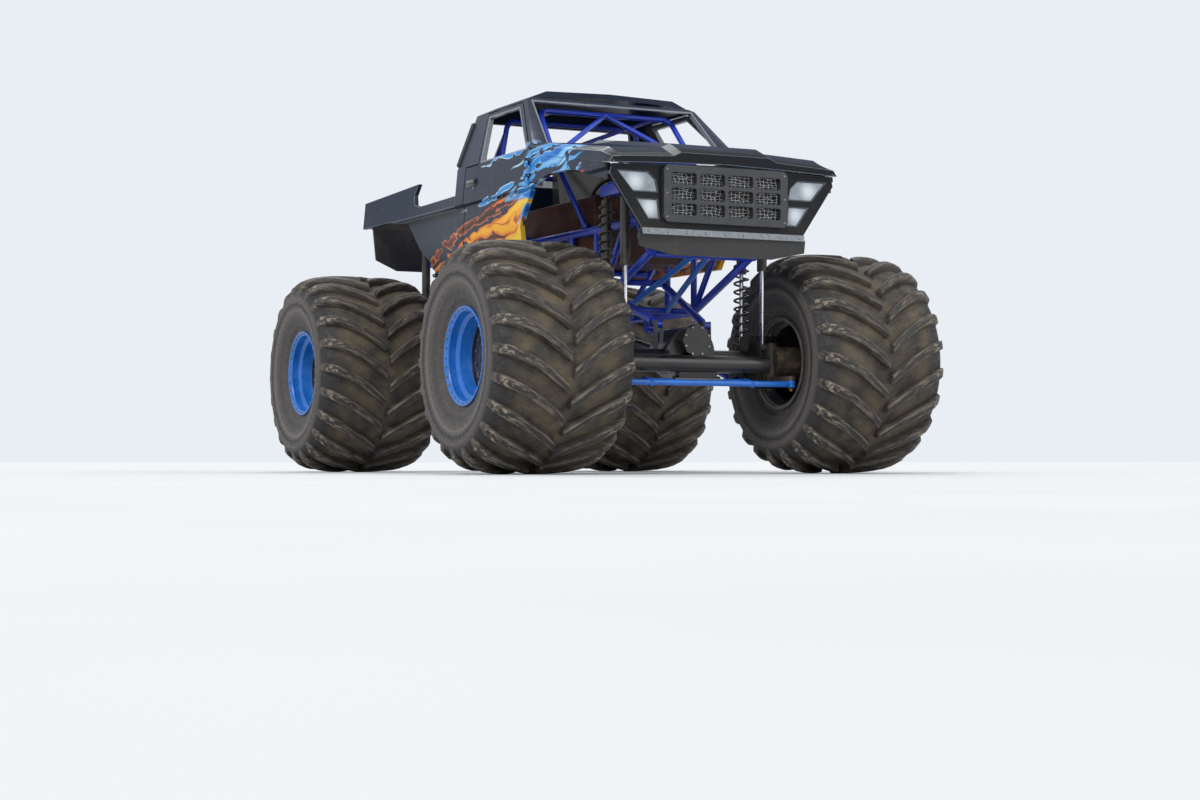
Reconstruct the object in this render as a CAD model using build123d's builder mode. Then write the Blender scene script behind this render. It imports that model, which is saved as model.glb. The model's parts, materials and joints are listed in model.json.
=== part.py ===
"""Monster truck: a pickup shell on a tube chassis, with four steered axle ends and 66 inch tyres.

Frame: +X forward, +Y to the truck's left, +Z up, origin on the ground midway between the axles.
All sizes are millimetres. Pieces that come in pairs are modelled on the left and mirrored.
"""

import os
from math import asin, cos, degrees, pi, sin, sqrt

from build123d import *

os.makedirs("parts", exist_ok=True)

# Stance
wheelbase = 3500
track = 2600
tyre_radius = 838
axle_x = wheelbase / 2
axle_z = tyre_radius
wheel_y = track / 2

# Clearances
seat_gap = 0.3
pin_gap = 0.4
seam = 0.8
panel_gap = 12
run_gap = 6
cut_over = 12

# Tyre and wheel
tyre_half = 550
crown_half = 455
valley_radius = 772
shoulder_radius = 655
cavity_half = 430
cavity_radius = 700
cavity_sides = 8
lug_count = 22
lug_width = 56
lug_depth = 120
lug_sweep = 270
lug_gap = 14
lug_sink = 8
lug_shoulder_radius = 802
bead_half = 458
bead_radius = 330
rim_lip = 352
rim_lip_thick = 20
barrel_radius = 300
barrel_wall = 12
dish_depth = 215
disc_thick = 16
hub_radius = 205
hub_inner_y = -150
hub_nose = 40
spindle_radius = 80
spindle_reach = 150

# Knuckle and kingpin
kingpin_y = 750
kingpin_radius = 24
knuckle_radius = 55
yoke_inner_z = 150
yoke_thick = 48
steer_arm_x = 300
steer_arm_thick = 34
steer_arm_z = -128
tie_rod_radius = 22
tie_rod_drop = 6
ram_x = 195
ram_z = -152
ram_radius = 34
ram_half = 190
ram_rod_radius = 15
ram_clamp_y = 420

# Axle housing
housing_radius = 85
housing_half = 565
banjo_radius = 190
banjo_lift = 60
cover_radius = 120
cover_lift = 140
beam_radius = 62
beam_x = 220
beam_z = -30
beam_half = 590
beam_inner_y = 470
banjo_snout = 130
cover_back = 100
cover_depth = 110
pinion_radius = 75
yoke_boss_radius = 50
kingpin_over = 16
shock_shelf_thick = 20

# Eyes and the tabs that hold them
eye_radius = 28
eye_width = 44
tab_half = 34
tab_thick = 9

# Links: low pair and top pair, axle ends from the axle centre, frame ends from the origin
pinion_reach = 260
low_link_x = -40
low_link_axle_y = 455
low_link_z = -138
low_link_frame_x = 400
low_link_frame_z = 1160
top_link_x = -20
top_link_axle_y = 200
top_link_z = 270
top_link_frame_x = 786
top_link_frame_y = 330
link_radius = 28
shank_radius = 16
shank_length = 85

# Shocks, placed from the axle centre
shock_y = 575
shock_front_x = 170
shock_rear_x = -135
shock_lower_z = 105
shock_upper_z = 2080
shock_foot_z = 20
neck_length = 62
shaft_radius = 16
damper_radius = 37
spring_radius = 62
spring_core = damper_radius + 3
spring_wall = 6
spring_coils = 15
spring_sides = 10
spring_top_gap = 28
coil_thick = 20
collar_lift = 45
collar_thick = 14

# Chassis tubes
rail_radius = 32
tube_radius = 25
frame_y = 420
lower_z = 1250
upper_z = 1850
nose_z = 1600
belly_x = 1150
nose_x = 2010
link_cross_x = 720
link_cross_z = 1500
hoop_z = 2105
rail_front_x = 2329.7
rail_rear_x = 2300
channel_lift = 5
channel_height = 80
post_x = -316
stub_x = 2070
stay_radius = 22
stay_nose_y = 60
stay_belly_y = 180
hitch_reach = 120
hitch_width = 90
hitch_thick = 30
hitch_bore = 16

# Driveline, engine and cockpit
transfer_half = 160
transfer_width = 190
transfer_snout = 420
transfer_top = 1420
transfer_chamfer = 50
transfer_side_drop = 90
transfer_floor_drop = 130
transfer_boss_radius = 70
shaft_z = 1100
flange_radius = 58
flange_length = 30
shaft_neck_radius = 34
shaft_tube_radius = 44
engine_front = 560
engine_rear = 1340
engine_floor = 1535
engine_top = 2080
deck_z = engine_floor + 200
head_half = 330
head_drop = 190
sump_half = 120
sump_z = 1420
deck_half = 190
deck_drop = 30
valley_half = 130
head_shoulder_y = 250
engine_plate_thick = 10
cover_inner_y = 150
cover_outer_y = 318
cover_height = 50
cover_inset = 45
blower_length = 550
blower_back = 130
blower_width = 270
blower_height = 190
blower_round = 80
blower_lift = 140
manifold_length = 480
manifold_width = 240
manifold_height = 60
hat_neck_length = 420
hat_neck_width = 210
hat_reach = 260
rib_pitch = 60
rib_width = 12
rib_proud = 9
hat_floor = 280
hat_height = 130
hat_half = 200
throat_width = 150
throat_height = 62
throat_depth = 60
snout_radius = 45
belt_x = -1400
belt_width = 55
belt_thick = 9
blower_pulley = 78
crank_pulley = 100
crank_z = 1700
crank_radius = 28
header_radius = 27
header_pitch = 170
header_first = 130
header_drop = 125
header_bend_y = 445
header_tip_y = 640
header_bend = 60
tub_floor_z = 1620
tub_top = 2125
tub_front = 1050
tub_rear = 250
tub_wall = 12
seat_half = 230
seat_x = 130
seat_bolster = 50
seat_back = 860
wheel_hub_x = 560
wheel_hub_z = 2180
grip_radius = 175
grip_thick = 25
spoke_width = 30
column_radius = 20
column_drop = 260
wheel_boss_radius = 45
spoke_thick = 22
cell_length = 420
cell_width = 620
cell_height = 300
cell_corner = 40

# Roll cage
cage_radius = 22
cage_front = 450
cage_hoop = -150
cage_top_y = 580
cage_top = 2850
cage_bar_y = 470
cage_bend = 85
cage_foot_x = 950
cage_stay_x = -1550
elbow_x = 800
elbow_y = 620
elbow_z = 2450
shoulder_y = 660
shoulder_z = 2400

# Shell outline
shell_wall = 40
skin = 25
body_front = 2390
body_rear = -2520
cab_rear = -400
door_front = 1040
door_rear = -220
rocker_z = 1620
sill_z = 1730
crease_z = 1880
step_z = 2150
step_band = 12
belt_z = 2450
window_height = 440
window_top = belt_z + window_height
roof_rise = 100
roof_z = window_top + roof_rise
roof_crown = 15
roof_front = 540
roof_edge_y = 742
roof_flat_y = 560
window_rim = 25
window_head = 38
screen_low_y = 755
screen_top_y = 700
rear_glass_low_y = 700
rear_glass_top_y = 640
hood_rear = 1070
hood_crown = 30
hood_ridge_y = 360
hood_step_y = 425
hood_shoulder_y = 850
hood_shoulder_drop = 22
hood_flank_y = 912
hood_seam_z = 2402
cowl_z = 2480
lip_z = 2190
strip_z = 1745
valance_z = 1590
valance_drop = 30
valance_thick = 20
valance_flat_y = 410
valance_low_y = 680
valance_wide_y = 690
valance_top_y = 668
strip_height = 44
strip_proud = 42
nose_foot_y = 670
nose_wide_y = 925
nose_wide_z = 2118
nose_top_y = 905
panel_back = 2330
panel_front = 2360
grille_z = 1995
grille_width = 1020
grille_height = 410
grille_depth = 40
grille_pitch_y = 232
grille_pitch_z = 110
grille_cell_y = 205
grille_cell_z = 84
grille_corner = 45
grille_cell_corner = 18
grille_lap_y = 30
grille_lap_z = 25
lamp_set_back = 40
lamp_recess = 8
bed_low_z = 2170
bed_top_z = 2425
gate_inset = 5
gate_thick = 35
gate_drop = 25
corner_inner_y = 380
corner_outer_y = 930
corner_side_y = 900
corner_side_z = 1880
corner_low_y = 700
corner_low_z = 1790
corner_thick = 20
hinge_x = 1035
hinge_y = 957
hinge_heights = (2225, 2345)
hinge_half = 22
hinge_radius = 11
hinge_pin = 6
leaf_length = 44
leaf_thick = 12
leaf_drop = 4
foot_width = 24
foot_reach = 40
foot_drop = 22
pin_over = 12
knuckle_thick = 10


def mirrored(piece):
    """The right-hand twin of a left-hand piece."""
    return piece.mirror(Plane.XZ)


def write_piece(piece, name):
    """Label a finished piece and write it as one STEP file."""
    piece.label = name
    export_step(piece, f"parts/{name}.step")


def write_pieces(pieces, name):
    """Write several solids of one node together."""
    solids = [solid for piece in pieces for solid in piece.solids()]
    write_piece(Compound(children=solids), name)


def tube(start, end, radius):
    """A straight round tube, solid, from one point to another."""
    a, b = Vector(*start), Vector(*end)
    with BuildPart() as made:
        with BuildSketch(Plane(origin=a, z_dir=b - a)):
            Circle(radius)
        extrude(amount=(b - a).length)
    return made.part


def across(x, z, half, radius):
    """A round tube square across the truck."""
    return tube((x, -half, z), (x, half, z), radius)


def row_at(rows, z):
    """The half width of the shell at a height, from its table of (z, y) rows."""
    for (z0, y0), (z1, y1) in zip(rows, rows[1:]):
        if z0 <= z <= z1:
            return y0 + (y1 - y0) * (z - z0) / (z1 - z0)
    return rows[-1][1] if z > rows[-1][0] else rows[0][1]


# Side of the shell: columns are height, half width
side_rows = [
    (rocker_z, 868),
    (crease_z, 945),
    (step_z - step_band, 922),
    (step_z + step_band, 945),
    (belt_z, 918),
    (window_top + 20, roof_edge_y),
]


def radius_at(start, end, y):
    """Radius at an offset along the straight line between two (offset, radius) points."""
    return start[1] + (end[1] - start[1]) * (y - start[0]) / (end[0] - start[0])


def flat_sided_taper(start, end, sides):
    """A solid with flat sides between two (offset, corner radius) rings round the Y axis."""
    turns = [2 * pi * i / sides for i in range(sides)]
    rings = [[(radius * sin(turn), y, radius * cos(turn)) for turn in turns] for y, radius in (start, end)]
    near, far = rings
    walls = [(near[i - 1], near[i], far[i], far[i - 1]) for i in range(sides)]
    return Solid(Shell([Face(Wire.make_polygon(corners)) for corners in [near, far] + walls]))


# Far corner of a lug's inner end: its place along the tread, and its radius, with which the flats
# between one corner and the next lie at the tyre's own radius
lug_far = (lug_sweep + lug_width) / 2
lug_corner = tyre_radius / cos(pi / (2 * lug_count))


def make_lug():
    """One bar of the left tread, from the middle over the shoulder, cut from its plan by its profile."""
    reach = lug_sweep / 2
    # Columns are offset from the middle, place along the tread, radius of the far corner
    stations = [
        (lug_gap, reach, lug_corner),
        (crown_half, -reach, lug_shoulder_radius),
        (tyre_half, -reach, shoulder_radius - lug_sink),
    ]
    tops = [(y, sqrt(radius ** 2 - lug_far ** 2)) for y, _, radius in stations]
    with BuildPart() as lug:
        with BuildSketch():
            with BuildLine():
                Polyline(
                    *[(x - lug_width / 2, y) for y, x, _ in stations],
                    *[(x + lug_width / 2, y) for y, x, _ in reversed(stations)],
                    close=True,
                )
            make_face()
        extrude(amount=tyre_radius)
        with BuildSketch(Plane.YZ.offset(-lug_far)):
            with BuildLine():
                Polyline(*tops, *[(y, z - lug_depth) for y, z in reversed(tops)], close=True)
            make_face()
        extrude(amount=2 * lug_far, mode=Mode.INTERSECT)
    return lug.part


def make_tyre():
    """One hollow lugged tyre about its own centre, axle along Y, its lowest lugs level on the ground."""
    far = tyre_half + cut_over
    facet = 360 / lug_count
    crown, edge = (crown_half, valley_radius), (tyre_half, shoulder_radius)
    bead = (bead_half, (rim_lip + seat_gap) / cos(pi / lug_count))
    shoulder = flat_sided_taper(crown, (far, radius_at(crown, edge, far)), lug_count)
    sidewall_dip = flat_sided_taper(bead, (far, radius_at(bead, edge, far)), lug_count)
    lug = make_lug()
    lugs = []
    for first, piece in ((0, lug), (facet / 2, mirrored(lug))):
        lugs += [piece.rotate(Axis.Y, first + i * facet) for i in range(lug_count)]
    with BuildPart() as tyre:
        with BuildSketch(Plane.XZ.offset(crown_half)):
            RegularPolygon(valley_radius, lug_count, rotation=facet / 2)
        extrude(amount=-2 * crown_half)
        add([shoulder, mirrored(shoulder)])
        add(lugs)
        add([sidewall_dip, mirrored(sidewall_dip)], mode=Mode.SUBTRACT)
        with BuildSketch(Plane.XZ.offset(tyre_half)):
            RegularPolygon(bead_radius + seat_gap, lug_count // 2, major_radius=False, rotation=facet / 2)
        extrude(amount=-2 * tyre_half, mode=Mode.SUBTRACT)
        with BuildSketch(Plane.XZ.offset(cavity_half)):
            RegularPolygon(cavity_radius, cavity_sides)
        extrude(amount=-2 * cavity_half, mode=Mode.SUBTRACT)
    return tyre.part.rotate(Axis.Y, facet / 4 - degrees(asin(lug_far / lug_corner)))


def make_rim():
    """One deep dish wheel with its planetary hub, outer face towards +Y."""
    lip_out = bead_half + seat_gap + rim_lip_thick
    lip_in = bead_half + seat_gap
    well = 75
    seat_in = bead_radius - barrel_wall
    barrel_in = barrel_radius - barrel_wall
    half = [
        (bead_half - well, barrel_radius),
        (bead_half - well + 28, bead_radius),
        (lip_in, bead_radius),
        (lip_in, rim_lip),
        (lip_out, rim_lip),
        (lip_out, seat_in),
        (bead_half - well + 33, seat_in),
        (bead_half - well + 5, barrel_in),
    ]
    disc_y = lip_out - dish_depth
    hub_outer_y = disc_y + hub_nose
    with BuildPart() as rim:
        with BuildSketch(Plane.YZ):
            with BuildLine():
                Polyline(*half, *[(-y, r) for y, r in reversed(half)], close=True)
            make_face()
        revolve(axis=Axis.Y)
        with BuildSketch(Plane.YZ):
            with BuildLine():
                Polyline(
                    (disc_y - disc_thick, 0),
                    (disc_y - disc_thick, barrel_radius - 4),
                    (disc_y, barrel_radius - 4),
                    (disc_y, 0),
                    close=True,
                )
            make_face()
        revolve(axis=Axis.Y)
        with BuildSketch(Plane.YZ):
            with BuildLine():
                Polyline(
                    (hub_inner_y, 0),
                    (hub_inner_y, hub_radius - 25),
                    (hub_inner_y + 25, hub_radius),
                    (hub_outer_y - 18, hub_radius),
                    (hub_outer_y, hub_radius - 18),
                    (hub_outer_y, 0),
                    close=True,
                )
            make_face()
        revolve(axis=Axis.Y)
        with BuildSketch(Plane.XZ.offset(-hub_inner_y)):
            Circle(spindle_radius + pin_gap)
        extrude(amount=-spindle_reach, mode=Mode.SUBTRACT)
    return rim.part


def make_knuckle():
    """The left front knuckle about its kingpin: barrel, spindle out to the hub and steering arm."""
    hub_face = wheel_y - kingpin_y + hub_inner_y
    with BuildPart() as knuckle:
        with BuildSketch(Plane.XY.offset(-yoke_inner_z + 1)):
            Circle(knuckle_radius)
        extrude(amount=2 * yoke_inner_z - 2)
        with BuildSketch(Plane.XZ):
            Circle(spindle_radius + 45)
        extrude(amount=-(hub_face - run_gap))
        with BuildSketch(Plane.XZ.offset(-(hub_face - run_gap))):
            Circle(spindle_radius)
        extrude(amount=-(spindle_reach - run_gap))
        with BuildSketch(Plane.XY.offset(steer_arm_z - steer_arm_thick / 2)):
            with BuildLine():
                Polyline((0, 50), (steer_arm_x, 30), (steer_arm_x, -30), (0, -50), close=True)
            make_face()
            with Locations((steer_arm_x, 0)):
                Circle(30)
        extrude(amount=steer_arm_thick)
        with BuildSketch(Plane.XY.offset(-yoke_inner_z)):
            Circle(kingpin_radius + pin_gap)
        extrude(amount=2 * yoke_inner_z, mode=Mode.SUBTRACT)
    return knuckle.part


def make_tie_rod():
    """Blue tie rod across one axle, with its ends under the arms and the ram's rod clamped to it."""
    arm_under = steer_arm_z - steer_arm_thick / 2
    rod_z = arm_under - tie_rod_drop - tie_rod_radius
    with BuildPart() as rod:
        with BuildSketch(Plane.XZ.offset(kingpin_y - 20)):
            with Locations((steer_arm_x, rod_z)):
                Circle(tie_rod_radius)
        extrude(amount=-2 * (kingpin_y - 20))
        with BuildSketch(Plane.XY.offset(rod_z - tie_rod_radius)):
            with Locations((steer_arm_x, kingpin_y), (steer_arm_x, -kingpin_y)):
                Circle(30)
        extrude(amount=arm_under - 1 - rod_z + tie_rod_radius)
        with BuildSketch(Plane.XZ.offset(ram_clamp_y + 20)):
            with Locations((ram_x, ram_z)):
                Circle(ram_rod_radius)
        extrude(amount=-2 * (ram_clamp_y + 20))
        for side in (1, -1):
            with BuildSketch(Plane.XZ.offset(-side * ram_clamp_y)):
                with BuildLine():
                    Polyline(
                        (ram_x - 24, ram_z - 22),
                        (steer_arm_x + 8, rod_z - 30),
                        (steer_arm_x + 30, rod_z + 10),
                        (ram_x + 5, ram_z + 24),
                        (ram_x - 24, ram_z + 22),
                        close=True,
                    )
                make_face()
            extrude(amount=20)
    return rod.part


def clevis(x, y, z, base_z):
    """Two upright plates that hold an eye between them, from a base height past the eye."""
    reach = eye_width / 2 + seat_gap
    beyond = eye_radius if z > base_z else -eye_radius
    with BuildPart() as plates:
        for start in (reach, -reach - tab_thick):
            with BuildSketch(Plane.XZ.offset(-(y + start))):
                with BuildLine():
                    Polyline(
                        (x - tab_half, base_z),
                        (x + tab_half, base_z),
                        (x + eye_radius - 4, z + beyond),
                        (x - eye_radius + 4, z + beyond),
                        close=True,
                    )
                make_face()
            extrude(amount=-tab_thick)
    return plates.part


def make_axle():
    """Front axle housing about its own centre: tubes, banjo, yokes, kingpins and the front beam."""
    with BuildPart() as axle:
        with BuildSketch(Plane.XZ.offset(housing_half)):
            Circle(housing_radius)
        extrude(amount=-2 * housing_half)
        with BuildSketch(Plane.YZ.offset(-banjo_radius)):
            with Locations((0, banjo_lift)):
                Circle(banjo_radius)
        extrude(amount=banjo_radius + banjo_snout)
        with BuildSketch(Plane.YZ.offset(cover_back)):
            with Locations((0, cover_lift)):
                RegularPolygon(cover_radius, 8)
        extrude(amount=cover_depth)
        with BuildSketch(Plane.YZ.offset(-pinion_reach)):
            with Locations((0, banjo_lift)):
                Circle(pinion_radius)
        extrude(amount=pinion_reach - 40)
        with BuildSketch(Plane.XZ.offset(beam_half)):
            with Locations((beam_x, beam_z)):
                Circle(beam_radius)
        extrude(amount=-2 * beam_half)
        for side in (1, -1):
            web_y = housing_half - 45
            with BuildSketch(Plane.XZ.offset(-side * web_y)):
                Rectangle(130, 2 * (yoke_inner_z + yoke_thick))
            extrude(amount=-side * 70)
            for level in (yoke_inner_z, -yoke_inner_z - yoke_thick):
                with BuildSketch(Plane.XY.offset(level)):
                    with BuildLine():
                        Polyline(
                            (-65, side * web_y),
                            (65, side * web_y),
                            (50, side * kingpin_y),
                            (-50, side * kingpin_y),
                            close=True,
                        )
                    make_face()
                    with Locations((0, side * kingpin_y)):
                        Circle(yoke_boss_radius)
                extrude(amount=yoke_thick)
            with BuildSketch(Plane.XY.offset(-yoke_inner_z - yoke_thick - kingpin_over)):
                with Locations((0, side * kingpin_y)):
                    Circle(kingpin_radius)
            extrude(amount=2 * (yoke_inner_z + yoke_thick + kingpin_over))
            with BuildSketch(Plane.XY.offset(beam_z - 15)):
                with BuildLine():
                    Polyline(
                        (40, side * beam_inner_y),
                        (beam_x, side * beam_inner_y),
                        (beam_x + 30, side * beam_half),
                        (60, side * beam_half),
                        close=True,
                    )
                make_face()
            extrude(amount=30)
            for x in (shock_front_x, shock_rear_x):
                with BuildSketch(Plane.XY.offset(shock_foot_z)):
                    with Locations((x / 2, side * shock_y)):
                        Rectangle(abs(x) + 80, eye_width + 26)
                extrude(amount=shock_shelf_thick)
                add(clevis(x, side * shock_y, shock_lower_z, shock_foot_z))
            add(clevis(low_link_x, side * low_link_axle_y, low_link_z, 0))
            add(clevis(top_link_x, side * top_link_axle_y, top_link_z, 0))
        with BuildSketch(Plane.XZ.offset(ram_half)):
            with Locations((ram_x, ram_z)):
                Circle(ram_radius)
        extrude(amount=-2 * ram_half)
        with BuildSketch(Plane.XZ.offset(ram_half - 30)):
            with BuildLine():
                Polyline(
                    (ram_x - 26, ram_z),
                    (ram_x + 26, ram_z),
                    (ram_x + 40, beam_z),
                    (ram_x - 40, beam_z),
                    close=True,
                )
            make_face()
        extrude(amount=-2 * (ram_half - 30))
        with BuildSketch(Plane.XZ.offset(ram_half + 1)):
            with Locations((ram_x, ram_z)):
                Circle(ram_rod_radius + pin_gap)
        extrude(amount=-2 * (ram_half + 1), mode=Mode.SUBTRACT)
    return axle.part


tyre_model = make_tyre()
rim_left = make_rim()
rim_right = mirrored(rim_left)
knuckle_left_front = make_knuckle()
tie_rod_front = make_tie_rod()
axle_front = make_axle()

# Corners: columns are name, x sign (front 1), y sign (left 1)
corners = [("fl", 1, 1), ("fr", 1, -1), ("rl", -1, 1), ("rr", -1, -1)]
for name, fore, side in corners:
    centre = Location((fore * axle_x, side * wheel_y, axle_z))
    write_piece(tyre_model.moved(centre), f"tyre_{name}")
    rim = rim_left if side > 0 else rim_right
    write_piece(rim.moved(centre), f"wheel_{name}")
    knuckle = knuckle_left_front if side > 0 else mirrored(knuckle_left_front)
    knuckle = knuckle if fore > 0 else knuckle.mirror(Plane.YZ)
    kingpin = Location((fore * axle_x, side * kingpin_y, axle_z))
    write_piece(knuckle.moved(kingpin), f"knuckle_{name}")

for name, fore in (("front", 1), ("rear", -1)):
    place = Location((fore * axle_x, 0, axle_z))
    rod = tie_rod_front if fore > 0 else tie_rod_front.mirror(Plane.YZ)
    write_piece(rod.moved(place), f"tie_rod_{name}")
    housing = axle_front if fore > 0 else axle_front.mirror(Plane.YZ)
    write_piece(housing.moved(place), f"axle_{name}")


def make_damper(x, gas):
    """One shock from its lower eye to its upper eye, the gas one slim and the coil one with a collar."""
    low = axle_z + shock_lower_z
    split = low + 0.5 * (shock_upper_z - low)
    with BuildPart() as damper:
        for z in (low, shock_upper_z):
            with BuildSketch(Plane.XZ.offset(-(shock_y - eye_width / 2))):
                with Locations((x, z)):
                    Circle(eye_radius)
            extrude(amount=-eye_width)
        with BuildSketch(Plane.XY.offset(low)):
            with Locations((x, shock_y)):
                Circle(shaft_radius)
        extrude(amount=split - low)
        with BuildSketch(Plane.XY.offset(split)):
            with Locations((x, shock_y)):
                Circle(damper_radius)
        extrude(amount=shock_upper_z - neck_length - split)
        with BuildSketch(Plane.XY.offset(shock_upper_z - neck_length)):
            with Locations((x, shock_y)):
                Circle(shaft_radius)
        extrude(amount=neck_length)
        if not gas:
            with BuildSketch(Plane.XY.offset(low + collar_lift)):
                with Locations((x, shock_y)):
                    Circle(spring_radius)
            extrude(amount=collar_thick)
    return damper.part


def make_spring(x):
    """One coil spring drawn as a ribbed sleeve round the damper, between the lower seat and the collar."""
    low = axle_z + shock_lower_z + collar_lift + collar_thick + seat_gap
    top = shock_upper_z - neck_length - spring_top_gap
    pitch = (top - low) / spring_coils
    coil_floors = [low + (i + 0.5) * pitch - coil_thick / 2 for i in range(spring_coils)]
    with BuildPart() as spring:
        with BuildSketch(Plane.XY.offset(low)):
            with Locations((x, shock_y)):
                RegularPolygon(spring_core + spring_wall, spring_sides, major_radius=False)
        extrude(amount=top - low)
        with BuildSketch(*[Plane.XY.offset(z) for z in coil_floors]):
            with Locations((x, shock_y)):
                RegularPolygon(spring_radius, spring_sides)
        extrude(amount=coil_thick)
        with BuildSketch(Plane.XY.offset(low)):
            with Locations((x, shock_y)):
                RegularPolygon(spring_core, spring_sides, major_radius=False)
        extrude(amount=top - low, mode=Mode.SUBTRACT)
    return spring.part


springs = []
for name, fore in (("front", 1), ("rear", -1)):
    dampers = []
    for shock_x, gas in ((shock_front_x, True), (shock_rear_x, False)):
        x = fore * (axle_x + shock_x)
        left = make_damper(x, gas)
        dampers += [left, mirrored(left)]
        if not gas:
            coil = make_spring(x)
            springs += [coil, mirrored(coil)]
    write_pieces(dampers, f"shocks_{name}")
write_pieces(springs, "springs")

# Chassis side truss: columns are x, z of the start, x, z of the end, radius
truss_rows = [
    (-rail_rear_x, upper_z, rail_front_x, upper_z, rail_radius),
    (-belly_x, lower_z, belly_x, lower_z, rail_radius),
]
for fore in (1, -1):
    truss_rows += [
        (fore * belly_x, lower_z, fore * nose_x, nose_z, rail_radius - 2),
        (fore * nose_x, nose_z, fore * nose_x, hoop_z, tube_radius),
        (fore * axle_x, upper_z, fore * axle_x, hoop_z, tube_radius),
        (fore * belly_x, lower_z, fore * belly_x, upper_z, tube_radius),
        (fore * belly_x, lower_z, fore * (axle_x - 130), upper_z, tube_radius - 1),
        (fore * nose_x, nose_z, fore * (axle_x + 60), upper_z, tube_radius - 2),
        (fore * link_cross_x, lower_z, fore * link_cross_x, upper_z, tube_radius - 1),
        (0, lower_z, fore * link_cross_x, upper_z, tube_radius - 2),
        (fore * axle_x, hoop_z, fore * nose_x, hoop_z, tube_radius - 2),
    ]

with BuildPart() as side_frame:
    for x0, z0, x1, z1, radius in truss_rows:
        add(tube((x0, frame_y, z0), (x1, frame_y, z1), radius))
    for fore in (1, -1):
        add(clevis(fore * low_link_frame_x, frame_y, low_link_frame_z, lower_z))
        add(tube((fore * nose_x, frame_y, nose_z), (fore * stub_x, frame_y, nose_z), rail_radius - 4))
        channel_x = (shock_front_x - shock_rear_x) + 2 * tab_half
        with BuildSketch(Plane.YZ.offset(fore * (axle_x + shock_rear_x - tab_half))):
            with Locations((shock_y, shock_upper_z + channel_lift)):
                Rectangle(eye_width + 2 * seat_gap + 2 * tab_thick, channel_height)
            with Locations((shock_y, shock_upper_z + channel_lift - tab_thick)):
                Rectangle(eye_width + 2 * seat_gap, channel_height, mode=Mode.SUBTRACT)
        extrude(amount=fore * channel_x)
        channel_inner_y = shock_y - eye_width / 2 - tab_thick
        for x in (fore * axle_x, fore * (axle_x + 110)):
            add(tube((x, frame_y, hoop_z), (x, channel_inner_y + 4, hoop_z), tube_radius - 3))
    sill_inner = row_at(side_rows, upper_z - tube_radius) - shell_wall - seat_gap
    add(tube((post_x, frame_y, upper_z), (post_x, sill_inner, upper_z), tube_radius))
write_piece(side_frame.part, "frame_side_left")
write_piece(mirrored(side_frame.part), "frame_side_right")

# Cross tubes between the trusses: columns are x, z, radius, radius of the tube they meet
cross_rows = [
    (transfer_half + tube_radius + seat_gap, lower_z, tube_radius, rail_radius),
    (belly_x, lower_z, tube_radius, rail_radius),
    (nose_x, nose_z, tube_radius, rail_radius - 2),
    (nose_x, upper_z, tube_radius, rail_radius),
    (link_cross_x, link_cross_z, tube_radius, tube_radius - 1),
    (axle_x, hoop_z, tube_radius, tube_radius),
    (nose_x, hoop_z, tube_radius, tube_radius),
]
cross_tubes = []
for fore in (1, -1):
    for x, z, radius, seat in cross_rows:
        half = frame_y - seat - seat_gap
        with BuildPart() as cross:
            add(across(fore * x, z, half, radius))
            if z == link_cross_z:
                for y in (top_link_frame_y, -top_link_frame_y):
                    for start in (eye_width / 2 + seat_gap, -eye_width / 2 - seat_gap - tab_thick):
                        with BuildSketch(Plane.XZ.offset(-(y + start))):
                            with Locations((fore * (x + top_link_frame_x) / 2, z)):
                                Rectangle(top_link_frame_x - x + 56, 56)
                        extrude(amount=-tab_thick)
            if z == nose_z:
                with BuildSketch(Plane.XY.offset(z - hitch_thick / 2)):
                    with Locations((fore * (x + hitch_reach / 2), 0)):
                        Rectangle(hitch_reach, hitch_width)
                    with Locations((fore * (x + hitch_reach), 0)):
                        Circle(hitch_width / 2)
                        Circle(hitch_bore, mode=Mode.SUBTRACT)
                extrude(amount=hitch_thick)
        cross_tubes.append(cross.part)
tub_rest_z = tub_floor_z - seat_gap - tube_radius
tub_rest_x = (tub_rest_z - lower_z) / (upper_z - lower_z) * link_cross_x
cross_tubes.append(across(tub_rest_x, tub_rest_z, frame_y - tube_radius, tube_radius))
write_pieces(cross_tubes, "frame_cross_tubes")

# Stays from the nose to the belly, a pair at each end
stays = []
for fore in (1, -1):
    for side in (1, -1):
        start = (fore * nose_x, side * stay_nose_y, nose_z)
        end = (fore * belly_x, side * stay_belly_y, lower_z)
        with BuildPart() as stay:
            add(tube(start, end, stay_radius))
            for x, y, z in (start, end):
                add(across(x, z, frame_y, tube_radius + seat_gap), mode=Mode.SUBTRACT)
        stays.append(stay.part)
write_pieces(stays, "frame_stays")


def make_link(start, end):
    """One suspension link: an eye at each end, a thin shank beside it and a thick tube between."""
    a, b = Vector(*start), Vector(*end)
    along = (b - a).normalized()
    inner_a, inner_b = a + along * shank_length, b - along * shank_length
    with BuildPart() as link:
        for eye in (a, b):
            with BuildSketch(Plane.XZ.offset(-(eye.Y - eye_width / 2))):
                with Locations((eye.X, eye.Z)):
                    Circle(eye_radius)
            extrude(amount=-eye_width)
        add(tube(tuple(a), tuple(b), shank_radius))
        add(tube(tuple(inner_a), tuple(inner_b), link_radius))
    return link.part


links = []
for fore in (1, -1):
    low = make_link(
        (fore * (axle_x + low_link_x), low_link_axle_y, axle_z + low_link_z),
        (fore * low_link_frame_x, frame_y, low_link_frame_z),
    )
    top = make_link(
        (fore * (axle_x + top_link_x), top_link_axle_y, axle_z + top_link_z),
        (fore * top_link_frame_x, top_link_frame_y, link_cross_z),
    )
    links += [low, mirrored(low), top, mirrored(top)]
write_pieces(links, "suspension_links")

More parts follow.
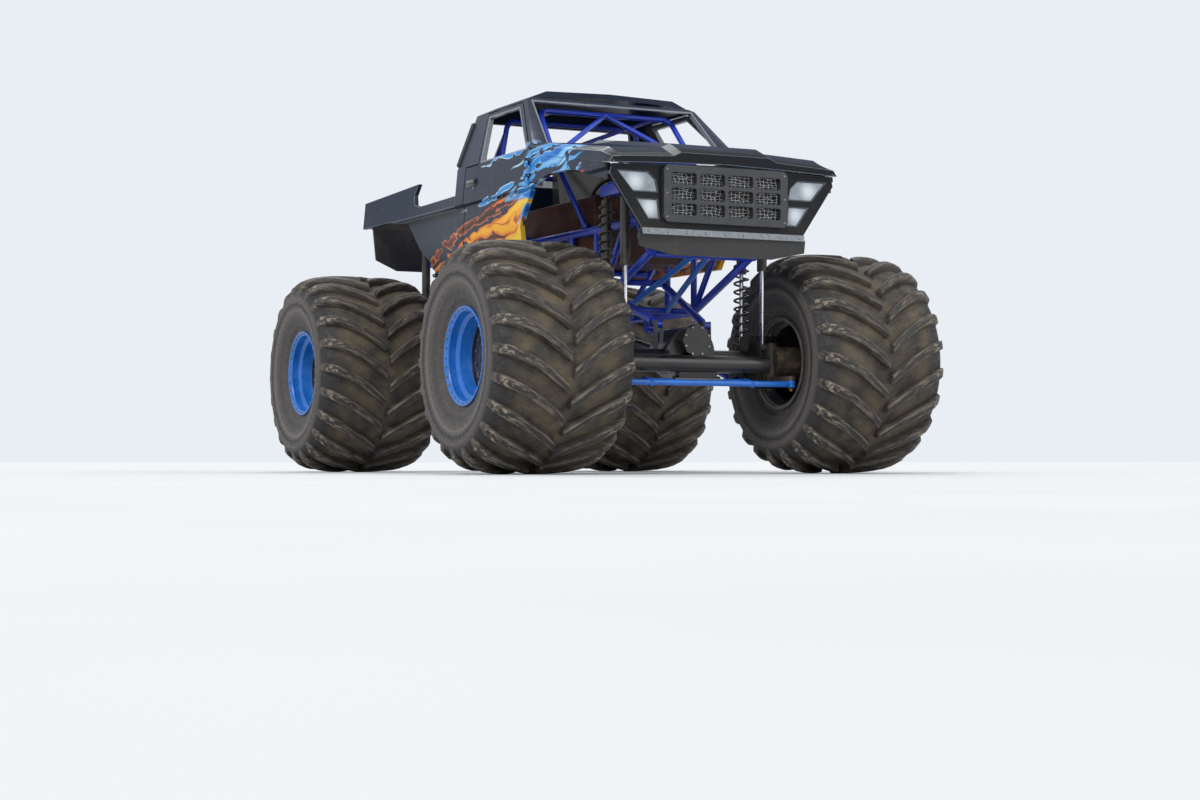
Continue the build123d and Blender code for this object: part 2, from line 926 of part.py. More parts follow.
# Driveline: transfer case between its two cross tubes, with a shaft to each axle
with BuildPart() as transfer:
    with BuildSketch(Plane.XZ.offset(transfer_width)):
        with BuildLine():
            Polyline(
                (-transfer_half, transfer_top),
                (-transfer_half, shaft_z - transfer_side_drop),
                (-transfer_half + transfer_chamfer, shaft_z - transfer_floor_drop),
                (transfer_half - transfer_chamfer, shaft_z - transfer_floor_drop),
                (transfer_half, shaft_z - transfer_side_drop),
                (transfer_half, transfer_top),
                close=True,
            )
        make_face()
    extrude(amount=-2 * transfer_width)
    with BuildSketch(Plane.YZ.offset(-transfer_snout)):
        with Locations((0, shaft_z)):
            Circle(transfer_boss_radius)
    extrude(amount=2 * transfer_snout)
write_piece(transfer.part, "transfer_case")

driveshafts = []
for fore in (1, -1):
    near = transfer_snout + seat_gap
    far = axle_x - pinion_reach - seat_gap
    pinion_z = axle_z + banjo_lift
    with BuildPart() as shaft:
        for x, z in ((near, shaft_z), (far - flange_length, pinion_z)):
            with BuildSketch(Plane.YZ.offset(fore * x)):
                with Locations((0, z)):
                    Circle(flange_radius)
            extrude(amount=fore * flange_length)
        joint_a = (fore * (near + 10), 0, shaft_z)
        joint_b = (fore * (far - 10), 0, pinion_z)
        add(tube(joint_a, (fore * (near + 95), 0, shaft_z - 16), shaft_neck_radius))
        add(tube((fore * (near + 60), 0, shaft_z - 6), (fore * (far - 60), 0, pinion_z + 6),
                 shaft_tube_radius))
        add(tube((fore * (far - 95), 0, pinion_z + 16), joint_b, shaft_neck_radius))
    driveshafts.append(shaft.part)
write_pieces(driveshafts, "driveshafts")

# Engine behind the cab: block, oil pan, two heads with red covers and two plates to the frame
with BuildPart() as engine:
    with BuildSketch(Plane.YZ.offset(-engine_rear)):
        with BuildLine():
            Polyline(
                (-sump_half, engine_floor),
                (sump_half, engine_floor),
                (sump_half + deck_drop, deck_z - deck_drop),
                (deck_half, deck_z),
                (head_half, engine_top - head_drop),
                (head_half, engine_top - 70),
                (head_shoulder_y, engine_top - 20),
                (valley_half, engine_top),
                (-valley_half, engine_top),
                (-head_shoulder_y, engine_top - 20),
                (-head_half, engine_top - 70),
                (-head_half, engine_top - head_drop),
                (-deck_half, deck_z),
                (-sump_half - deck_drop, deck_z - deck_drop),
                close=True,
            )
        make_face()
    extrude(amount=engine_rear - engine_front)
    for x in (-engine_rear + 40, -engine_front - 50):
        with BuildSketch(Plane.YZ.offset(x)):
            with BuildLine():
                half = frame_y - rail_radius - seat_gap
                Polyline(
                    (-half, upper_z - 20),
                    (-half, upper_z + 20),
                    (half, upper_z + 20),
                    (half, upper_z - 20),
                    (180, deck_z),
                    (-180, deck_z),
                    close=True,
                )
            make_face()
        extrude(amount=engine_plate_thick)
    with BuildSketch(Plane.XZ.offset(sump_half)):
        with BuildLine():
            Polyline(
                (-engine_rear + 60, engine_floor + 1),
                (-engine_rear + 90, sump_z),
                (-link_cross_x - 70, sump_z),
                (-link_cross_x - 50, engine_floor + 1),
                close=True,
            )
        make_face()
    extrude(amount=-2 * sump_half)
    with BuildSketch(Plane.XZ.offset(110)):
        with BuildLine():
            Polyline(
                (-engine_front, 1690),
                (-tub_rear - 40, 1600),
                (-transfer_half - seat_gap, 1410),
                (-transfer_half - seat_gap, 1300),
                (-300, 1380),
                (-engine_front, engine_floor),
                close=True,
            )
        make_face()
    extrude(amount=-220)
    for side in (1, -1):
        with BuildSketch(Plane.YZ.offset(-engine_rear + cover_inset)):
            with BuildLine():
                Polyline(
                    (side * cover_inner_y, engine_top - 10),
                    (side * (cover_outer_y - 18), engine_top - 50),
                    (side * cover_outer_y, engine_top + 5),
                    (side * (cover_outer_y - 28), engine_top + 32),
                    (side * (cover_inner_y + 30), engine_top + cover_height),
                    close=True,
                )
            make_face()
        extrude(amount=engine_rear - engine_front - 2 * cover_inset)
    with BuildSketch(Plane.YZ.offset(belt_x + belt_width + seat_gap)):
        with Locations((0, crank_z)):
            Circle(crank_radius)
    extrude(amount=-engine_rear - belt_x)
write_piece(engine.part, "engine")

# Blower on its manifold: ribbed housing, plate and intake hat, with the drive belt behind the engine
engine_mid = -(engine_front + engine_rear) / 2
blower_rear = -engine_rear + blower_back
blower_z = engine_top + blower_lift
hat_z = engine_top + hat_floor
hat_front = engine_mid + hat_reach
rib_places = [blower_rear + (i + 0.5) * rib_pitch for i in range(int(blower_length / rib_pitch))]
pulleys = [(blower_z, blower_pulley), (crank_z, crank_pulley)]


def belt_loop(proud):
    """The belt's line round both pulleys, at a height above their rims."""
    with BuildSketch(Plane.YZ.offset(belt_x)) as loop:
        for z, radius in pulleys:
            with Locations((0, z)):
                Circle(radius + proud)
        make_hull()
    return loop.sketch


with BuildPart() as blower:
    with BuildSketch(Plane.XY.offset(engine_top + seat_gap)):
        with Locations((engine_mid, 0)):
            Rectangle(manifold_length, manifold_width)
    extrude(amount=manifold_height)
    with BuildSketch(Plane.YZ.offset(blower_rear)):
        with Locations((0, blower_z)):
            RectangleRounded(blower_width, blower_height, blower_round)
    extrude(amount=blower_length)
    with BuildSketch(*[Plane.YZ.offset(x) for x in rib_places]):
        with Locations((0, blower_z)):
            RectangleRounded(blower_width + 2 * rib_proud, blower_height + 2 * rib_proud, blower_round)
    extrude(amount=rib_width)
    with BuildSketch(Plane.XY.offset(blower_z + blower_height / 2 - 10)):
        with Locations((engine_mid, 0)):
            Rectangle(hat_neck_length, hat_neck_width)
    extrude(amount=hat_z - blower_z - blower_height / 2 + 15)
    with BuildSketch(Plane.XZ.offset(hat_half)):
        with BuildLine():
            Polyline(
                (engine_mid - 210, hat_z),
                (engine_mid + 230, hat_z),
                (hat_front, hat_z + 40),
                (hat_front, hat_z + hat_height),
                (engine_mid - 120, hat_z + hat_height),
                close=True,
            )
        make_face()
    extrude(amount=-2 * hat_half)
    with BuildSketch(Plane.YZ.offset(hat_front)):
        with Locations((0, hat_z + hat_height / 2 + 20)):
            with GridLocations(throat_width + 30, 0, 2, 1):
                Rectangle(throat_width, throat_height)
    extrude(amount=-throat_depth, mode=Mode.SUBTRACT)
    extrude(belt_loop(belt_thick), amount=belt_width)
    extrude(belt_loop(0), amount=belt_width, mode=Mode.SUBTRACT)
    with BuildSketch(Plane.YZ.offset(belt_x)):
        for z, radius in pulleys:
            with Locations((0, z)):
                Circle(radius + belt_thick / 2)
    extrude(amount=belt_width)
    with BuildSketch(Plane.YZ.offset(belt_x)):
        with Locations((0, blower_z)):
            Circle(snout_radius)
    extrude(amount=blower_rear - belt_x + 10)
write_piece(blower.part, "supercharger")

headers = []
for i in range(4):
    x = -engine_front - header_first - i * header_pitch
    port = (x, head_half + seat_gap, engine_top - header_drop)
    bend = (x, header_bend_y, engine_top - header_drop)
    tip = (x - header_bend, header_tip_y, engine_top + header_bend)
    with BuildPart() as pipe:
        with BuildLine():
            FilletPolyline(port, bend, tip, radius=header_bend)
        with BuildSketch(Plane(origin=port, z_dir=(0, 1, 0))):
            Circle(header_radius)
        sweep()
    headers += [pipe.part, mirrored(pipe.part)]
write_pieces(headers, "exhaust_headers")

# Tub with its seat and steering wheel, in the middle of the cab
tub_half = frame_y - rail_radius - seat_gap
with BuildPart() as tub:
    with BuildSketch(Plane.XY.offset(tub_floor_z)):
        with Locations(((tub_front - tub_rear) / 2, 0)):
            Rectangle(tub_front + tub_rear, 2 * tub_half)
    extrude(amount=tub_top - tub_floor_z)
    with BuildSketch(Plane.XY.offset(tub_floor_z + tub_wall)):
        with Locations(((tub_front - tub_rear) / 2, 0)):
            Rectangle(tub_front + tub_rear - 2 * tub_wall, 2 * (tub_half - tub_wall))
    extrude(amount=tub_top - tub_floor_z, mode=Mode.SUBTRACT)
write_piece(tub.part, "footwell_tub")

with BuildPart() as seat:
    seat_floor = tub_floor_z + tub_wall + seat_gap
    with BuildSketch(Plane.XZ.offset(seat_half)):
        with BuildLine():
            Polyline(
                (seat_x - 100, seat_floor),
                (seat_x + 280, seat_floor),
                (seat_x + 330, seat_floor + 240),
                (seat_x + 300, seat_floor + 300),
                (seat_x + 20, seat_floor + 250),
                (seat_x - 110, seat_floor + seat_back),
                (seat_x - 190, seat_floor + seat_back),
                (seat_x - 150, seat_floor + 150),
                close=True,
            )
        make_face()
    extrude(amount=-2 * seat_half)
    with BuildSketch(Plane.XZ.offset(seat_half - seat_bolster)):
        with BuildLine():
            Polyline(
                (seat_x + 60, seat_floor + 300),
                (seat_x - 50, seat_floor + seat_back - 40),
                (seat_x - 110, seat_floor + seat_back - 40),
                (seat_x, seat_floor + 205),
                (seat_x + 340, seat_floor + 265),
                (seat_x + 340, seat_floor + 330),
                close=True,
            )
        make_face()
    extrude(amount=-2 * (seat_half - seat_bolster), mode=Mode.SUBTRACT)
write_piece(seat.part, "seat")

with BuildPart() as steering:
    hub = Vector(wheel_hub_x, 0, wheel_hub_z)
    foot = Vector(tub_front - tub_wall, 0, tub_floor_z + column_drop)
    tilted = Plane(origin=hub, x_dir=(0, 1, 0), z_dir=hub - foot)
    with BuildSketch(tilted):
        Circle(grip_radius)
        Circle(grip_radius - grip_thick, mode=Mode.SUBTRACT)
        Rectangle(2 * grip_radius - 40, spoke_width)
        with Locations((0, grip_radius / 2 - 7)):
            Rectangle(spoke_width, grip_radius - 25)
        Circle(wheel_boss_radius)
    extrude(amount=spoke_thick)
    add(tube(tuple(hub), tuple(foot + (foot - hub) * 0.1), column_radius))
    with BuildSketch(Plane.YZ.offset(tub_front - tub_wall - seat_gap)):
        with Locations((0, tub_floor_z + column_drop)):
            Rectangle(2 * grip_radius, 2 * grip_radius)
    extrude(amount=2 * grip_radius, mode=Mode.SUBTRACT)
write_piece(steering.part, "steering_wheel")

with BuildPart() as cell:
    with BuildSketch(Plane.XY.offset(hoop_z + tube_radius + seat_gap)):
        with Locations((-(axle_x + nose_x) / 2, 0)):
            RectangleRounded(cell_length, cell_width, cell_corner)
    extrude(amount=cell_height)
write_piece(cell.part, "fuel_cell")

# Roll cage: two bent hoops on feet, joined by straight tubes
foot_z = upper_z + rail_radius + seat_gap
cage_low = foot_z + 10
elbow = (elbow_x, elbow_y, elbow_z)
shoulder = (cage_hoop, shoulder_y, shoulder_z)
front_hoop = [(cage_foot_x, frame_y, cage_low), elbow, (cage_front, cage_top_y, cage_top)]
main_hoop = [(cage_hoop, frame_y, cage_low), shoulder, (cage_hoop, cage_top_y, cage_top)]
# Straight tubes on the left, repeated on the right: columns are start, end
cage_bars = [
    ((cage_front, cage_bar_y, cage_top), (cage_hoop, cage_bar_y, cage_top)),
    (elbow, shoulder),
    ((cage_hoop, cage_top_y + 18, cage_top - 100), (cage_stay_x, frame_y, foot_z + 24)),
    ((cage_front, 0, cage_top), (elbow_x, elbow_y - 10, elbow_z)),
]


def bent_hoop(points):
    """One bent tube up the left side, over the top and down the right side."""
    path = points + [(x, -y, z) for x, y, z in reversed(points)]
    with BuildPart() as hoop:
        with BuildLine():
            FilletPolyline(*path, radius=cage_bend)
        with BuildSketch(Plane(origin=path[0], z_dir=Vector(*path[1]) - Vector(*path[0]))):
            Circle(cage_radius)
        sweep()
    return hoop.part


with BuildPart() as cage:
    add(bent_hoop(front_hoop))
    add(bent_hoop(main_hoop))
    for side in (1, -1):
        for (x0, y0, z0), (x1, y1, z1) in cage_bars:
            add(tube((x0, side * y0, z0), (x1, side * y1, z1), cage_radius - 2))
        with BuildSketch(Plane.XY.offset(foot_z)):
            with Locations(*[(x, side * frame_y) for x in (cage_foot_x, cage_hoop, cage_stay_x)]):
                Circle(cage_radius + 8)
        extrude(amount=30)
    add(across(elbow_x, elbow_z, elbow_y - 8, cage_radius - 2))
    add(across(cage_hoop, shoulder_z, shoulder_y - 10, cage_radius - 2))
    add(tube((cage_hoop, 5 - shoulder_y, shoulder_z + 5), (cage_hoop, 480, cage_top), cage_radius - 3))
write_piece(cage.part, "roll_cage")


def outline_across(outline, half=1000):
    """Sketch a side view outline on the middle plane, ready to extrude across the truck."""
    with BuildSketch(Plane.XZ.offset(half)) as side_view:
        with BuildLine():
            Polyline(*outline, close=True)
        make_face()
    return side_view.sketch


def side_panel(outline, holes=()):
    """A left side panel: the side wall cut to a side view outline of (x, z) points, with its holes."""
    heights = [rocker_z] + [z for z, _ in side_rows if z > rocker_z]
    outer = [(row_at(side_rows, z), z) for z in heights]
    inner = [(y - shell_wall, z) for y, z in reversed(outer)]
    back = min(x for x, _ in outline)
    front = max(x for x, _ in outline)
    with BuildPart() as panel:
        with BuildSketch(Plane.YZ.offset(back)):
            with BuildLine():
                Polyline(*outer, *inner, close=True)
            make_face()
        extrude(amount=front - back)
        extrude(outline_across(outline, 0), amount=-1000, mode=Mode.INTERSECT)
        for hole in holes:
            extrude(outline_across(hole, 0), amount=-1000, mode=Mode.SUBTRACT)
    return panel.part


# Outline of the window frame's front edge and rear edge in side view
frame_front_low = (985, belt_z)
frame_front_top = (500, window_top)
frame_rear_top = (-145, window_top)
frame_rear_low = (30, belt_z)
arch_points = [(838, sill_z), (910, 1940), (door_front, 2140)]
door_outline = [
    (door_rear, sill_z),
    *arch_points,
    (door_front, belt_z),
    frame_front_low,
    frame_front_top,
    frame_rear_top,
    frame_rear_low,
    (door_rear, belt_z),
]
window_outline = [
    (915, belt_z + window_rim),
    (475, window_top - window_head),
    (-95, window_top - window_head),
    (70, belt_z + window_rim),
]
with BuildPart() as door:
    add(side_panel(door_outline, [window_outline]))
    for z in hinge_heights:
        with BuildSketch(Plane.XY.offset(z - hinge_half)):
            with Locations((hinge_x, hinge_y)):
                Circle(hinge_radius)
            with Locations((hinge_x - leaf_length / 2, hinge_y - leaf_drop)):
                Rectangle(leaf_length, leaf_thick)
            with Locations((hinge_x - leaf_length + foot_width / 2, hinge_y - foot_drop)):
                Rectangle(foot_width, foot_reach)
            with Locations((hinge_x, hinge_y)):
                Circle(hinge_pin + pin_gap, mode=Mode.SUBTRACT)
        extrude(amount=2 * hinge_half)
write_piece(door.part, "door_left")
write_piece(mirrored(door.part), "door_right")

# Cab shell: rear posts and sills, roof, windscreen frame, rear wall and cowl
roof_edge_z = window_top + panel_gap
roof_outer = [(row_at(side_rows, roof_edge_z), roof_edge_z),
              (roof_edge_y, window_top + 20), (roof_flat_y, roof_z), (0, roof_z + roof_crown)]
roof_inner = [(0, roof_z + roof_crown - shell_wall), (roof_flat_y - panel_gap, roof_z - shell_wall),
              (roof_outer[0][0] - shell_wall, roof_edge_z)]
full_rows = [(row_at(side_rows, z), z) for z, _ in side_rows[:-1]]
envelope = full_rows + roof_outer
envelope += [(-y, z) for y, z in reversed(envelope) if y > 0]
glass_low = (1010, belt_z + 50)
glass_top = (560, window_top + 40)
slope = Vector(glass_top[0] - glass_low[0], 0, glass_top[1] - glass_low[1]).normalized()
inward = (slope.Z * -shell_wall, slope.X * shell_wall)
rear_post = [
    (cab_rear, rocker_z),
    (800, rocker_z),
    (820, sill_z - panel_gap),
    (door_rear - panel_gap, sill_z - panel_gap),
    (door_rear - panel_gap, belt_z + panel_gap),
    (frame_rear_low[0] - panel_gap - 4, belt_z + panel_gap),
    (frame_rear_top[0] - panel_gap, window_top + panel_gap),
    (frame_rear_top[0] - panel_gap, window_top + 20),
    (cab_rear, window_top + 20),
]
front_post = [
    (door_front + panel_gap, hood_seam_z + 1),
    (hood_rear - seam, hood_seam_z + 1),
    (hood_rear - seam, cowl_z),
    glass_low,
    (581, window_top + 20),
    (512, window_top + 20),
    (frame_front_top[0] + panel_gap, window_top + panel_gap),
    (frame_front_low[0] + panel_gap, belt_z + panel_gap),
    (door_front + panel_gap, belt_z + panel_gap),
]
with BuildPart() as windscreen_frame:
    screen = [glass_low, glass_top,
              (glass_top[0] + inward[0], glass_top[1] + inward[1]),
              (glass_low[0] + inward[0], glass_low[1] + inward[1])]
    extrude(outline_across(screen), amount=-2000)
    with BuildSketch(Plane.YZ):
        with BuildLine():
            Polyline(*envelope, close=True)
        make_face()
    extrude(amount=1200, mode=Mode.INTERSECT)
    with BuildSketch(Plane.YZ):
        with BuildLine():
            Polyline((-screen_low_y, belt_z + 70), (screen_low_y, belt_z + 70),
                     (screen_top_y, window_top + 3), (-screen_top_y, window_top + 3), close=True)
        make_face()
    extrude(amount=1200, mode=Mode.SUBTRACT)

with BuildPart() as cab:
    with BuildSketch(Plane.YZ.offset(cab_rear)):
        with BuildLine():
            Polyline(*roof_outer, *[(-y, z) for y, z in reversed(roof_outer) if y > 0],
                     *[(-y, z) for y, z in reversed(roof_inner)], *roof_inner[1:], close=True)
        make_face()
    extrude(amount=roof_front - cab_rear)
    add(windscreen_frame.part)
    rear_left, front_left = side_panel(rear_post), side_panel(front_post)
    add([rear_left, mirrored(rear_left), front_left, mirrored(front_left)])
    with BuildSketch(Plane.YZ.offset(cab_rear)):
        with BuildLine():
            wall_foot_z = step_z + 10
            wall_rows = [(y - shell_wall / 2, z) for y, z in envelope if y > 0 and z > wall_foot_z]
            wall = [(row_at(side_rows, wall_foot_z) - shell_wall / 2, wall_foot_z)] + wall_rows
            Polyline(*wall, *[(-y, z) for y, z in reversed(wall)], close=True)
        make_face()
        with BuildLine():
            Polyline((-rear_glass_low_y, belt_z - 100), (rear_glass_low_y, belt_z - 100),
                     (rear_glass_top_y, window_top - 40), (-rear_glass_top_y, window_top - 40), close=True)
        make_face(mode=Mode.SUBTRACT)
    extrude(amount=shell_wall)
    with BuildSketch(Plane.XZ.offset(900)):
        with BuildLine():
            Polyline((990, belt_z + panel_gap), (door_front + panel_gap, belt_z + panel_gap),
                     (door_front + panel_gap, belt_z - 10), (hood_rear - seam, belt_z - 10),
                     (hood_rear - seam, cowl_z), glass_low, (990, glass_low[1]), close=True)
        make_face()
    extrude(amount=-1800)
write_piece(cab.part, "cab_shell")

# Front end. Hood stations: columns are x, height of the flat top, height of the lower edge
hood_stations = [
    (hood_rear, 2522, hood_seam_z),
    (1700, 2425, 2300),
    (2200, 2350, 2216),
    (body_front, 2262, lip_z),
]


def hood_section(top, edge):
    """Left half of the hood's outer line, from the crown to the side seam."""
    return [
        (0, top + hood_crown),
        (hood_ridge_y, top + hood_crown),
        (hood_step_y, top),
        (hood_shoulder_y, top - hood_shoulder_drop),
        (hood_flank_y, (top + edge) / 2 + 8),
        (row_at(side_rows, edge), edge),
    ]


def hood_inner(top, edge):
    """Left half of the hood's inner line, one skin inside the outer line."""
    return [
        (row_at(side_rows, edge) - skin, edge),
        (hood_flank_y - skin, (top + edge) / 2 + 2),
        (hood_shoulder_y - 12, top - hood_shoulder_drop - skin),
        (hood_step_y - 4, top - skin),
        (hood_ridge_y - 4, top + hood_crown - skin),
        (0, top + hood_crown - skin),
    ]


with BuildPart() as hood:
    for x, top, edge in hood_stations:
        with BuildSketch(Plane.YZ.offset(x)):
            with BuildLine():
                half_outer = hood_section(top, edge)
                half_inner = hood_inner(top, edge)
                ring = (list(reversed([(-y, z) for y, z in half_outer])) + half_outer[1:]
                        + half_inner + [(-y, z) for y, z in reversed(half_inner[:-1])])
                Polyline(*ring, close=True)
            make_face()
    loft(ruled=True)
    x, top, edge = hood_stations[-1]
    with BuildSketch(Plane.YZ.offset(x - skin)):
        with BuildLine():
            lip = hood_section(top, edge)
            low = [(nose_top_y, lip_z + 2), (hood_step_y, lip_z + 22), (0, lip_z + 32)]
            Polyline(*lip[:-1], *low, *[(-y, z) for y, z in reversed(low[:-1])],
                     *[(-y, z) for y, z in reversed(lip[1:-1])], close=True)
        make_face()
    extrude(amount=skin)
write_piece(hood.part, "hood")

fender_outline = [
    (door_front + panel_gap, hood_seam_z - 2),
    (hood_rear, hood_seam_z - seam - 1),
    (1700, 2300 - seam),
    (2200, 2216 - seam),
    (panel_back - seam, 2196 - seam),
    (panel_back - seam, 2075),
    (2080, 2130),
    (1900, 2185),
    (1700, 2215),
    (1380, 2220),
    (1160, 2180),
    (door_front + panel_gap, 2152),
]
with BuildPart() as fender:
    add(side_panel(fender_outline))
    for z in hinge_heights:
        with BuildSketch(Plane.XY.offset(z - hinge_half - pin_over)):
            with Locations((hinge_x, hinge_y)):
                Circle(hinge_pin)
        extrude(amount=2 * (hinge_half + pin_over))
        for start in (z - hinge_half - pin_over, z + hinge_half + pin_over - knuckle_thick):
            with BuildSketch(Plane.XY.offset(start)):
                with Locations((hinge_x, hinge_y)):
                    Circle(hinge_radius)
                with Locations((hinge_x + leaf_length / 2, hinge_y - leaf_drop)):
                    Rectangle(leaf_length, leaf_thick)
                with Locations((hinge_x + leaf_length - foot_width / 2, hinge_y - foot_drop)):
                    Rectangle(foot_width, foot_reach)
            extrude(amount=knuckle_thick)
write_pieces([fender.part, mirrored(fender.part)], "front_fenders")

# Lamp outlines on the nose, left side: points are y, z
upper_lamp = [(855, 2140), (620, 2140), (560, 2085), (543, 2003), (735, 2003)]
lower_lamp = [(705, 1947), (545, 1947), (530, 1813), (612, 1813)]
with BuildPart() as nose:
    with BuildSketch(Plane.YZ.offset(panel_back)):
        with BuildLine():
            half = [(nose_foot_y, strip_z), (nose_wide_y, nose_wide_z), (nose_top_y, lip_z - 2),
                    (hood_step_y, lip_z + 18), (0, lip_z + 28)]
            Polyline(*half, *[(-y, z) for y, z in reversed(half[:-1])], close=True)
        make_face()
        with Locations((0, grille_z)):
            Rectangle(grille_width - 2 * grille_lap_y, grille_height - 2 * grille_lap_z, mode=Mode.SUBTRACT)
        for side in (1, -1):
            for lamp in (upper_lamp, lower_lamp):
                with BuildLine():
                    Polyline(*[(side * y, z) for y, z in lamp], close=True)
                make_face(mode=Mode.SUBTRACT)
    extrude(amount=panel_front - panel_back)
write_piece(nose.part, "front_panel")

lamps = []
for side in (1, -1):
    for lamp in (upper_lamp, lower_lamp):
        with BuildPart() as unit:
            with BuildSketch(Plane.YZ.offset(panel_back - lamp_set_back)):
                with BuildLine():
                    Polyline(*[(side * y, z) for y, z in lamp], close=True)
                make_face()
                offset(amount=-seat_gap, kind=Kind.INTERSECTION)
            extrude(amount=panel_front - panel_back + lamp_set_back - lamp_recess)
        lamps.append(unit.part)
write_pieces(lamps, "headlamps")

with BuildPart() as grille:
    with BuildSketch(Plane.YZ.offset(panel_front + seat_gap)):
        with Locations((0, grille_z)):
            RectangleRounded(grille_width, grille_height, grille_corner)
            with GridLocations(grille_pitch_y, grille_pitch_z, 4, 3):
                RectangleRounded(grille_cell_y, grille_cell_z, grille_cell_corner, mode=Mode.SUBTRACT)
    extrude(amount=grille_depth)
write_piece(grille.part, "grille")

with BuildPart() as valance:
    with BuildSketch(Plane.YZ.offset(panel_back)):
        with BuildLine():
            half = [(0, valance_z - valance_drop), (valance_flat_y, valance_z - valance_drop),
                    (valance_low_y, valance_z + 25), (valance_wide_y, strip_z - 45),
                    (valance_top_y, strip_z - seam), (0, strip_z - seam)]
            Polyline(*half, *[(-y, z) for y, z in reversed(half[1:-1])], close=True)
        make_face()
    extrude(amount=valance_thick)
    with BuildSketch(Plane.YZ.offset(panel_back)):
        with Locations((0, strip_z - seam - strip_height / 2)):
            Rectangle(2 * valance_top_y, strip_height)
    extrude(amount=strip_proud)
write_piece(valance.part, "front_valance")

# Bed: two sides with a C shaped notch, a tailgate and the rear corner panels
bed_front = cab_rear - seam
bed_outline = [
    (body_rear, bed_low_z),
    (body_rear, bed_top_z - 20),
    (-1245, bed_top_z + 15),
    (-1320, 2345),
    (-1290, 2262),
    (-1180, 2240),
    (bed_front, 2250),
    (bed_front, rocker_z),
    (-880, rocker_z),
    (-1040, 1780),
    (-1170, 1890),
    (-1470, 2120),
    (-1900, bed_low_z),
]
bed_left = side_panel(bed_outline)
write_pieces([bed_left, mirrored(bed_left)], "bed_sides")

gate_half = row_at(side_rows, bed_top_z - gate_drop) - shell_wall - seat_gap
gate_back = body_rear + gate_inset
with BuildPart() as tailgate:
    with BuildSketch(Plane.XZ.offset(gate_half)):
        with BuildLine():
            Polyline((gate_back, bed_low_z + gate_inset), (gate_back + gate_thick, bed_low_z + gate_inset),
                     (gate_back + gate_thick, bed_top_z - gate_drop), (gate_back, bed_top_z - gate_drop),
                     close=True)
        make_face()
    extrude(amount=-2 * gate_half)

rear_panels = [tailgate.part]
for side in (1, -1):
    with BuildPart() as corner:
        with BuildSketch(Plane.YZ.offset(-rail_rear_x - seat_gap)):
            with BuildLine():
                Polyline((side * corner_inner_y, bed_low_z - seam),
                         (side * corner_outer_y, bed_low_z - seam),
                         (side * corner_side_y, corner_side_z), (side * corner_low_y, corner_low_z),
                         (side * corner_inner_y, corner_low_z), close=True)
            make_face()
        extrude(amount=-corner_thick)
    rear_panels.append(corner.part)
write_pieces(rear_panels, "bed_rear_panels")
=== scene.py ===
import json
import math

import bmesh
import bpy
from mathutils import Matrix, Vector

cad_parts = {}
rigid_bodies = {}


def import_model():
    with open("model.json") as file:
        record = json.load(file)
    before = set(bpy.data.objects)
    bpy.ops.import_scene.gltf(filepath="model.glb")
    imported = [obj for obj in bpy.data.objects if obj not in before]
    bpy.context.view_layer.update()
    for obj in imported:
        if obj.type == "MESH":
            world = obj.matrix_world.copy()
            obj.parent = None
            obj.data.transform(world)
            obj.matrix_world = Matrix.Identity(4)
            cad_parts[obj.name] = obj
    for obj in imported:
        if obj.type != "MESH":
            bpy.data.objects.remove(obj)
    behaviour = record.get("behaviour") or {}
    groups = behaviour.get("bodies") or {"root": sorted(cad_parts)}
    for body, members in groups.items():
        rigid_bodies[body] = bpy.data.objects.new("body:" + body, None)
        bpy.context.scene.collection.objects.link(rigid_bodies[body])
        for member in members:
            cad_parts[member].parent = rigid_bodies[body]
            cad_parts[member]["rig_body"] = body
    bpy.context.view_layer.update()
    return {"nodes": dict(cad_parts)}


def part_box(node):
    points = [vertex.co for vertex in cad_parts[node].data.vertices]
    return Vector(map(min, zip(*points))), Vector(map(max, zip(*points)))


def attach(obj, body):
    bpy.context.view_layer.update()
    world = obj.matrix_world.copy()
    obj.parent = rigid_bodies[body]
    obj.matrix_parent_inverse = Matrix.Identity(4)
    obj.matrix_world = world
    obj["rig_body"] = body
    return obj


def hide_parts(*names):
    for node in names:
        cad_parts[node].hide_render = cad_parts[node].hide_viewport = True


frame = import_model()


# Studio floor, sky and lamps: a pale painted floor that runs out to a pale horizon, lit by an even sky
# and three wide soft lamps, so that a colour on the truck renders about as it is written.
def linear(sheet_colour):
    """An sRGB hex colour as linear RGBA."""
    channels = [int(sheet_colour[i:i + 2], 16) / 255 for i in (0, 2, 4)]
    return [c / 12.92 if c <= 0.04045 else ((c + 0.055) / 1.055) ** 2.4 for c in channels] + [1.0]


def millimetres(size):
    """How many pattern repeats of that real size fit in a metre."""
    return 1000.0 / size


def plug(node, inputs):
    """Fills a node's inputs. Each is a value, an output, or a node that stands for its own result."""
    for socket, value in inputs.items():
        if isinstance(value, bpy.types.Node):
            value = value.outputs[2 if value.bl_idname == "ShaderNodeMix" else 0]
        if isinstance(value, bpy.types.NodeSocket):
            node.id_data.links.new(value, node.inputs[socket])
        else:
            node.inputs[socket].default_value = value


def add_node(tree, kind, inputs=None, **settings):
    """Adds one node with its settings and inputs."""
    made = tree.nodes.new(kind)
    for key, value in settings.items():
        setattr(made, key, value)
    plug(made, inputs or {})
    return made


def new_finish(name, **constants):
    """A material with its shader, whose even values are set straight on the shader's sockets."""
    finish = bpy.data.materials.new(name)
    finish.use_nodes = True
    shader = finish.node_tree.nodes["Principled BSDF"]
    for socket, value in constants.items():
        shader.inputs[socket.replace("_", " ")].default_value = value
    return finish, finish.node_tree, shader


